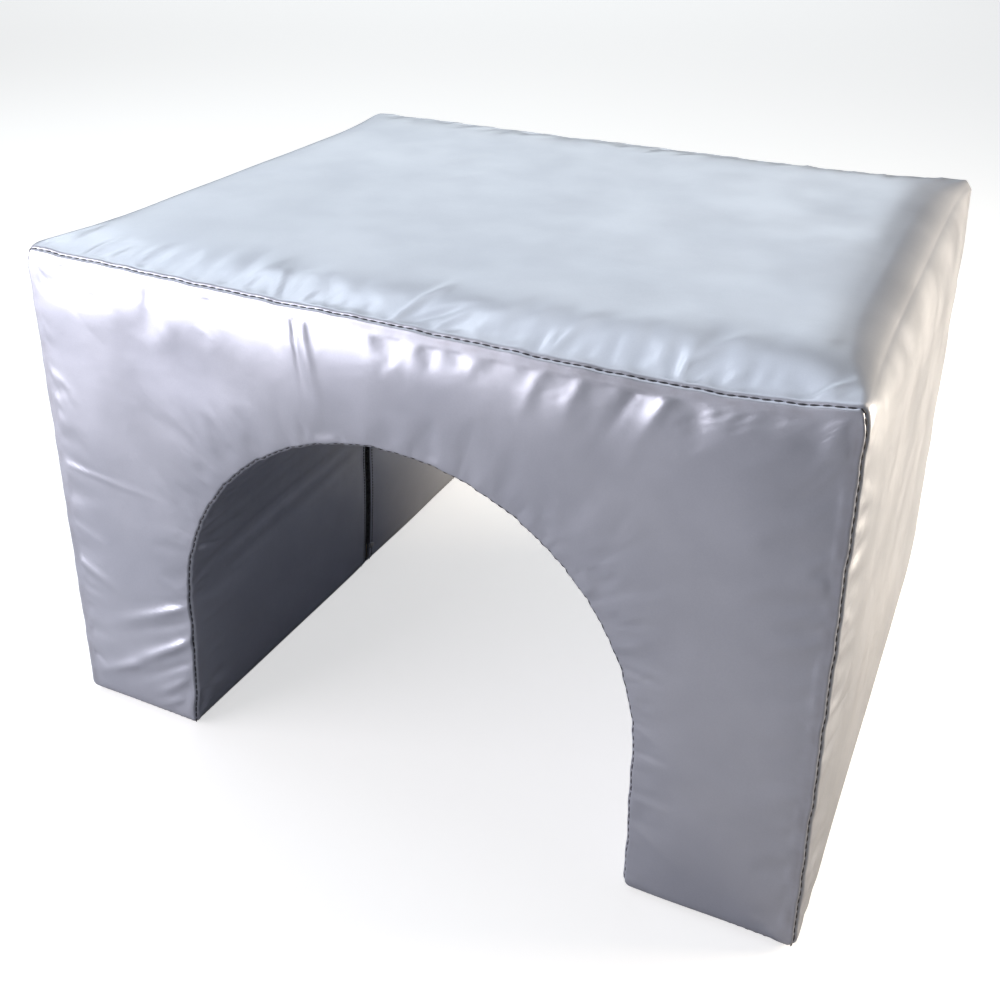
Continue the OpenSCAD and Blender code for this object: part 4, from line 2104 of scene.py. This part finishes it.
def run_tree(name: str, tree: NodeTree, values: dict, path: Array, facing: Array,
             closed: bool = False) -> Object:
    """Runs a geometry tree on a path and keeps the result as a plain mesh.

    Args:
        name: Name of the new piece.
        tree: The geometry tree, whose first input is the path.
        values: Its other inputs by name.
        path: Points of the path, shape (n, 3).
        facing: Outward direction at each point.
        closed: True if the path runs back to its first point.

    Returns:
        The piece, with no modifier left on it.
    """
    line = bpy.data.meshes.new(name + "_path")
    count = len(path)
    edges = [(i, i + 1) for i in range(count - 1)] + ([(count - 1, 0)] if closed else [])
    line.from_pydata([tuple(p) for p in path], edges, [])
    direction = line.attributes.new("facing", "FLOAT_VECTOR", "POINT")
    direction.data.foreach_set("vector", facing.astype(np.float32).ravel())
    source = link(name + "_path", line)
    modifier = source.modifiers.new("run", "NODES")
    modifier.node_group = tree
    for socket in tree.interface.items_tree:
        if socket.item_type == "SOCKET" and socket.in_out == "INPUT" and socket.name in values:
            modifier[socket.identifier] = values[socket.name]
    bpy.context.view_layer.update()
    evaluated = source.evaluated_get(bpy.context.evaluated_depsgraph_get())
    mesh = bpy.data.meshes.new_from_object(evaluated)
    mesh.name = name
    source.modifiers.remove(modifier)
    bpy.data.objects.remove(source)
    return link(name, mesh)


class EndSeam(Enum):
    """The two long seams of an end panel."""

    EDGE = "edge"
    ARCH = "arch"


@dataclass
class Stitching:
    """Every sewn line of the cover."""

    panels: CoverSet
    pitch: float = 6.6 * MM
    arch_pitch: float = 6.0 * MM
    share: float = 0.74
    thread: float = 0.95 * MM
    ride_up: float = 0.75 * MM
    first: float = 6 * MM
    base_height: float = 0.8 * MM
    base_proud: float = 0.3 * MM
    topstitch_pitch: float = 3.2 * MM
    topstitch_in: float = 3 * MM
    tree: NodeTree = field(default_factory=make_stitch_tree)

    def run(self, name: str, node: str, path: Array, facing: Array, pitch: float, seed: int,
            closed: bool = False) -> Object:
        """Sews one line of stitches and lets it stand for its CAD node.

        Args:
            name: Name of the result.
            node: The CAD node that it stands for.
            path: Points along the line.
            facing: Direction out of the cloth at each point.
            pitch: Length of one stitch and its gap.
            seed: Seed of the small irregularities.
            closed: True if the line is a loop.

        Returns:
            The piece.
        """
        facing = facing / np.linalg.norm(facing, axis=1, keepdims=True)
        values = {
            "Pitch": pitch,
            "Stitch length": pitch * self.share,
            "Thread": self.thread,
            "Seed": seed,
            "Material": self.panels.palette.thread,
        }
        piece = run_tree(name, self.tree, values, path, facing, closed)
        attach(piece, BODY)
        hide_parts(node)
        LOG.info("%s: %d points", name, len(piece.data.vertices))
        return piece

    def end_seam(self, end: End, seam: EndSeam) -> Object:
        """Sews an end panel to the outer strip or to the tunnel's lining.

        Args:
            end: Which end of the tunnel.
            seam: Which of the end panel's two seams.

        Returns:
            The piece.
        """
        cover, s = self.panels.cover, self.panels.cover.sizes
        a = np.linspace(self.first, s.path_length - self.first, 560)
        if seam is EndSeam.EDGE:
            contour, out = cover.outline.outer(a, np.full_like(a, cover.outline.end_corner_r))
            scallop, pitch, seed = self.panels.edge_scallop, self.pitch, 3
        else:
            contour, into_foam = cover.outline.inner(a)
            out = -into_foam
            scallop, pitch, seed = self.panels.arch_scallop, self.arch_pitch, 4
        xz = contour + out * (scallop.at(a) - SEAM_ACROSS)[:, None]
        facing = in_space(out, float(end.value))
        points = in_space(xz, end.value * (s.half_d - SEAM_ALONG))
        path = cover.settle(points) + facing * self.ride_up * math.sqrt(0.5)
        name = f"{end.name.lower()}_{seam.value}"
        return self.run(f"{name}_stitches", f"{name}_thread", path, facing, pitch, seed)

    def base_line(self, side: int) -> Object:
        """Sews the panel under a foot to the four walls of its leg.

        Args:
            side: -1 for the left or front one, 1 for the right or back one.

        Returns:
            The piece.
        """
        cover, s = self.panels.cover, self.panels.cover.sizes
        roll, round_r = cover.foot_roll, cover.base_round
        inset = roll - math.sqrt(roll**2 - (roll - self.base_height) ** 2) - self.base_proud
        half_x, half_y = s.half_w - s.leg_x - inset, s.half_d - inset
        corners = [(1, -1, -90), (1, 1, 0), (-1, 1, 90), (-1, -1, 180)]
        path, facing = [], []
        for across, along, start in corners:
            for step in range(7):
                angle = math.radians(start + 15 * step)
                out = Vector((math.cos(angle), math.sin(angle)))
                x = across * (half_x - round_r) + round_r * out.x
                y = along * (half_y - round_r) + round_r * out.y
                path.append((side * s.leg_x + x, y, self.base_height))
                facing.append((out.x, out.y, 0.0))
        name = "left_base" if side < 0 else "right_base"
        path, facing = cover.lean_left(np.array(path)), np.array(facing)
        return self.run(f"{name}_stitches", f"{name}_thread", path, facing, self.arch_pitch, 6, True)

    def wall_line(self, y: float, low: float, right_low: float) -> tuple[Array, Array]:
        """Finds a path round the tunnel wall at one depth.

        Args:
            y: Depth of the path.
            low: Height above the floor where it starts on the left leg.
            right_low: Height above the floor where it ends on the right leg.

        Returns:
            The points and the directions out of the wall.
        """
        outline, s = self.panels.cover.outline, self.panels.cover.sizes
        half = s.path_length / 2
        falling = np.linspace(half, s.path_length - right_low, 260)
        a = np.concatenate([np.linspace(low, half, 260), falling[1:]])
        contour, into_foam = outline.inner(a)
        return in_space(contour, y), -in_space(into_foam, 0.0)

    def topstitching(self) -> Object:
        """Sews the folded lining edges down to the zip's tapes, one row on each side.

        Returns:
            The piece.
        """
        cover, s = self.panels.cover, self.panels.cover.sizes
        rows = []
        for side in (-1, 1):
            y = s.zip_y + side * (cover.zip_edge + self.topstitch_in)
            points, facing = self.wall_line(y, 4 * MM, cover.gap_end)
            points = cover.settle(points - facing * 0.55 * MM)
            name, pitch = f"zip_topstitches_{side + 1}", self.topstitch_pitch
            rows.append(self.run(name, "zip_topstitching", points, facing, pitch, 8 + side))
        first, second = rows
        return join(first, [second], "zip_topstitches")

    def lining_seam(self) -> Object:
        """Sews the plain seam below the zip on the right leg.

        Returns:
            The piece.
        """
        cover, s = self.panels.cover, self.panels.cover.sizes
        z = np.linspace(self.first, cover.gap_end - cover.gap_closing, 40)
        points = np.stack([np.full(40, s.arch_r + 0.9 * MM), np.full(40, s.zip_y), z], axis=-1)
        facing = np.tile([-1.0, 0.0, 0.0], (40, 1))
        return self.run("lining_seam_stitches", "lining_seam_thread", points, facing, self.arch_pitch, 7)


def join(first: Object, others: list[Object], name: str) -> Object:
    """Joins pieces into the first one and renames it.

    Args:
        first: The piece that is kept.
        others: Pieces that are merged into it.
        name: Name of the result.

    Returns:
        The joined piece.
    """
    shape = bmesh.new()
    for piece in (first, *others):
        shape.from_mesh(piece.data)
    shape.to_mesh(first.data)
    shape.free()
    for piece in others:
        bpy.data.objects.remove(piece)
    first.name = name
    first.data.name = name
    return first


@dataclass
class ZipCloser:
    """The coil zip in the tunnel: two tapes and two coils."""

    stitching: Stitching
    tape_w: float = 30 * MM
    tape_t: float = 0.6 * MM
    tape_in: float = 2.25 * MM
    coil_w: float = 2.2 * MM
    coil_h: float = 2.4 * MM
    coil_pitch: float = 1.35 * MM
    wire: float = 0.62 * MM
    row_start: float = 27 * MM
    row_end: float = 113.2 * MM
    tape_end: float = 85.2 * MM

    def tape(self, side: int) -> Object:
        """Builds one woven tape, as a closed thin band with a beaded inner edge.

        Args:
            side: -1 for the left or front one, 1 for the right or back one.

        Returns:
            The piece.
        """
        s = self.stitching.panels.cover.sizes
        y = s.slit / 2 + np.array([0.0, 0.25, 0.6, 1.2, 2.4, 4.5, 7.5, 11.0, 14.0]) * MM
        y = np.minimum(y, self.tape_w / 2)
        bead = np.array([0.1, -0.12, -0.15, -0.05, 0, 0, 0, 0, 0]) * MM
        rows = []
        for depth, lift in zip(y, bead):
            points, facing = self.stitching.wall_line(s.zip_y + side * depth, 3 * MM, self.tape_end)
            rows.append(self.stitching.panels.cover.settle(points - facing * (self.tape_in + lift)))
        grid = np.stack(rows, axis=1)
        outward = np.repeat(facing[:, None], len(y), 1)
        flip = float((grid_normals(grid) * outward).sum()) < 0
        name = ("front" if side < 0 else "back") + "_zip_tape"
        mesh = shell_mesh(name + "_woven", grid, self.tape_t, flip)
        along = np.concatenate([[0], np.cumsum(np.linalg.norm(np.diff(grid[:, 0], axis=0), axis=1))])
        uu, vv = np.meshgrid(along, y, indexing="ij")
        set_uv(mesh, np.tile(uu.ravel(), 2), np.tile(vv.ravel(), 2))
        mesh.materials.append(self.stitching.panels.palette.tape)
        piece = link(name + "_woven", mesh)
        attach(piece, BODY)
        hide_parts(name)
        return piece

    def coil(self, side: int, tree: NodeTree) -> Object:
        """Winds one coil of loops along its tape's edge.

        Args:
            side: -1 for the front coil, 1 for the back one.
            tree: The geometry tree that winds it.

        Returns:
            The piece.
        """
        cover = self.stitching.panels.cover
        s = cover.sizes
        middle = s.zip_y + side * (s.slit / 2 + self.coil_w / 2)
        points, facing = self.stitching.wall_line(middle, self.row_start, self.row_end)
        points = cover.settle(points - facing * (2 * MM - self.coil_h / 2))
        values = {
            "Pitch": self.coil_pitch,
            "Width": self.coil_w,
            "Height": self.coil_h,
            "Wire": self.wire,
            "Slant": side * 0.22,
            "Material": self.stitching.panels.palette.coil,
        }
        name = ("front" if side < 0 else "back") + "_zip_coil"
        piece = run_tree(name + "_loops", tree, values, points, facing)
        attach(piece, BODY)
        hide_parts(name)
        LOG.info("%s: %d points", piece.name, len(piece.data.vertices))
        return piece

    def build(self) -> None:
        """Builds the zip's two tapes and two coils."""
        tree = make_coil_tree()
        for side in (-1, 1):
            self.tape(side)
            self.coil(side, tree)


@dataclass
class MetalParts:
    """Die-cast zip metal: the CAD shapes with their edges tumbled round."""

    palette: Palette

    def tumble(self, node: str, name: str, body: str, width: float) -> Object:
        """Copies a CAD node, merges its triangles and rounds its edges.

        Args:
            node: The CAD node that is copied and replaced.
            name: Name of the new piece.
            body: The body that it rides on.
            width: Width of the rounding.

        Returns:
            The piece.
        """
        shape = bmesh.new()
        shape.from_mesh(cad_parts[node].data)
        bmesh.ops.remove_doubles(shape, verts=shape.verts, dist=0.002 * MM)
        bmesh.ops.dissolve_limit(shape, angle_limit=math.radians(1), verts=shape.verts, edges=shape.edges)
        sharp = [
            e for e in shape.edges if len(e.link_faces) == 2 and e.calc_face_angle(0) > math.radians(35)
        ]
        bmesh.ops.bevel(
            shape,
            geom=sharp,
            offset=width,
            offset_type="OFFSET",
            segments=2,
            profile=0.5,
            affect="EDGES",
            clamp_overlap=True,
        )
        for face in shape.faces:
            face.smooth = True
        mesh = bpy.data.meshes.new(name)
        shape.to_mesh(mesh)
        shape.free()
        mesh.materials.append(self.palette.nickel)
        piece = link(name, mesh)
        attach(piece, body)
        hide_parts(node)
        LOG.info("%s: %d points", name, len(mesh.vertices))
        return piece

    def build(self) -> None:
        """Builds the stops, the slider and the pull tab."""
        self.tumble("bottom_stop", "zip_bottom_stop", BODY, 0.35 * MM)
        self.tumble("top_stops", "zip_top_stops", BODY, 0.35 * MM)
        self.tumble("zip_slider", "zip_slider_cast", "slider", 0.22 * MM)
        self.tumble("zip_pull_tab", "zip_pull_tab_cast", "pull_tab", 0.25 * MM)


# ---- studio


@dataclass(frozen=True)
class SoftBox:
    """One soft light.

    Attributes:
        name: Name of the light.
        place: Where it stands.
        target: What it points at.
        size: Its width and height.
        power: Its power in watts.
        colour: Its colour.
    """

    name: str
    place: tuple[float, float, float]
    target: tuple[float, float, float]
    size: tuple[float, float]
    power: float
    colour: tuple[float, float, float] = (1.0, 1.0, 1.0)

    def hang(self) -> None:
        """Adds the light to the scene."""
        data = bpy.data.lights.new(self.name, "AREA")
        data.shape = "RECTANGLE"
        data.size, data.size_y = self.size
        data.energy = self.power
        data.color = self.colour
        light = bpy.data.objects.new(self.name, data)
        bpy.context.scene.collection.objects.link(light)
        light.location = self.place
        aim = Vector(self.target) - Vector(self.place)
        light.rotation_euler = aim.to_track_quat("-Z", "Y").to_euler()


@dataclass(frozen=True)
class Studio:
    """Floor, lights, sky and camera.

    Attributes:
        eye: Where the camera stands.
        azimuth: How far it is turned, in degrees.
        elevation: How far it looks down.
        roll: How far it is tilted.
        lens: Its focal length in millimetres.
        shift: Its lens shift.
        floor_lit: Colour of the floor as the object is lit by it.
        floor_seen: Colour of the floor to the eye.
        floor_glow: Brightness added to the floor for the eye.
        sky_share: Share of the sky's brightness that lights the object.
    """

    eye: tuple[float, float, float] = (0.3648, -0.8445, 0.6755)
    azimuth: float = 26.1
    elevation: float = 23.43
    roll: float = 0.11
    lens: float = 43.12
    shift: tuple[float, float] = (0.0155, -0.1506)
    floor_lit: tuple[float, float, float] = (0.27, 0.27, 0.28)
    floor_seen: tuple[float, float, float] = (0.60, 0.60, 0.60)
    floor_glow: float = 0.62
    sky_share: float = 0.12

    def camera(self) -> None:
        """Adds the camera."""
        turn, rise, roll = (math.radians(v) for v in (self.azimuth, self.elevation, self.roll))
        back = Vector((math.sin(turn) * math.cos(rise), -math.cos(turn) * math.cos(rise), math.sin(rise)))
        right = Vector((math.cos(turn), math.sin(turn), 0.0))
        up = back.cross(right)
        right, up = (
            right * math.cos(roll) + up * math.sin(roll),
            up * math.cos(roll) - right * math.sin(roll),
        )
        data = bpy.data.cameras.new("camera")
        data.lens = self.lens
        data.sensor_width = 36.0
        data.shift_x, data.shift_y = self.shift
        data.clip_start, data.clip_end = 0.01, 200.0
        camera = bpy.data.objects.new("camera", data)
        axes = Matrix((right, up, back)).transposed()
        camera.matrix_world = Matrix.Translation(self.eye) @ axes.to_4x4()
        bpy.context.scene.collection.objects.link(camera)
        bpy.context.scene.camera = camera

    def floor(self) -> None:
        """Lays a plain pale floor."""
        half = 30.0
        mesh = bpy.data.meshes.new("floor")
        mesh.from_pydata(
            [(-half, -half, 0), (half, -half, 0), (half, half, 0), (-half, half, 0)], [], [(0, 1, 2, 3)]
        )
        material, sheet, surface, _ = start_material("pale floor")
        seen = sheet.add("ShaderNodeLightPath").outputs["Is Camera Ray"]
        sheet.feed(
            surface,
            {
                "Base Color": mix_colour(sheet, seen, self.floor_lit, self.floor_seen),
                "Roughness": 0.9,
                "Emission Color": (1.0, 1.0, 1.0, 1.0),
                "Emission Strength": sheet.math("MULTIPLY", seen, self.floor_glow),
            },
        )
        mesh.materials.append(material)
        link("floor", mesh)

    def sky(self) -> None:
        """Sets a plain pale sky, brighter to the eye than as a light."""
        world = bpy.data.worlds.new("pale studio")
        bpy.context.scene.world = world
        world.use_nodes = True
        world.node_tree.nodes.clear()
        sheet = NodeSheet(world.node_tree)
        seen = sheet.add("ShaderNodeLightPath").outputs["Is Camera Ray"]
        strength = sheet.add(
            "ShaderNodeMapRange", {"Value": seen, "To Min": self.sky_share, "To Max": 1.0}
        ).outputs["Result"]
        light = sheet.add("ShaderNodeBackground", {"Color": (0.97, 0.98, 1.0, 1.0), "Strength": strength})
        sheet.add("ShaderNodeOutputWorld", {"Surface": light.outputs["Background"]})

    def lights(self) -> None:
        """Hangs the soft lights."""
        middle = (0.0, 0.0, 0.2)
        SoftBox("back wall", (-2.4, 4.6, 2.2), (0.0, 0.0, 0.3), (5.0, 2.8), 52.0, (0.88, 0.96, 1.0)).hang()
        SoftBox("ceiling", (-0.3, 0.2, 2.3), middle, (2.4, 2.4), 21.0, (0.90, 0.96, 1.0)).hang()
        SoftBox("high left", (-1.8, 0.5, 1.9), middle, (1.7, 1.7), 15.0, (0.90, 0.97, 1.0)).hang()
        SoftBox(
            "left window", (-1.15, -1.2, 0.42), (-0.15, -0.25, 0.15), (1.3, 1.1), 28.0, (1.0, 0.95, 0.99)
        ).hang()
        SoftBox(
            "warm card", (1.25, 0.5, 0.45), (0.3, 0.15, 0.2), (0.7, 0.8), 30.0, (1.0, 0.86, 0.66)
        ).hang()

    def build(self) -> None:
        """Builds the studio."""
        self.camera()
        self.floor()
        self.sky()
        self.lights()
        bpy.context.scene.view_settings.view_transform = "Standard"


def main() -> None:
    """Builds the studio, then the play arch from its foam to its zip."""
    logging.basicConfig(level=logging.INFO, format="%(name)s %(message)s")
    Studio().build()
    sizes = BlockSizes.from_frame()
    LOG.info("sizes: %s", sizes)
    palette = Palette.make()
    FoamCore(sizes, palette).build()
    cover = Cover(sizes, Outline(sizes))
    panels = CoverSet(cover, palette, SlackCover(cover).run())
    panels.outer_strip()
    for end in End:
        panels.end_panel(end)
        panels.lining(end)
    for side in (-1, 1):
        panels.base_panel(side)
    stitching = Stitching(panels)
    for end in End:
        for seam in EndSeam:
            stitching.end_seam(end, seam)
    for side in (-1, 1):
        stitching.base_line(side)
    stitching.topstitching()
    stitching.lining_seam()
    ZipCloser(stitching).build()
    MetalParts(palette).build()


if __name__ == "__main__":
    main()
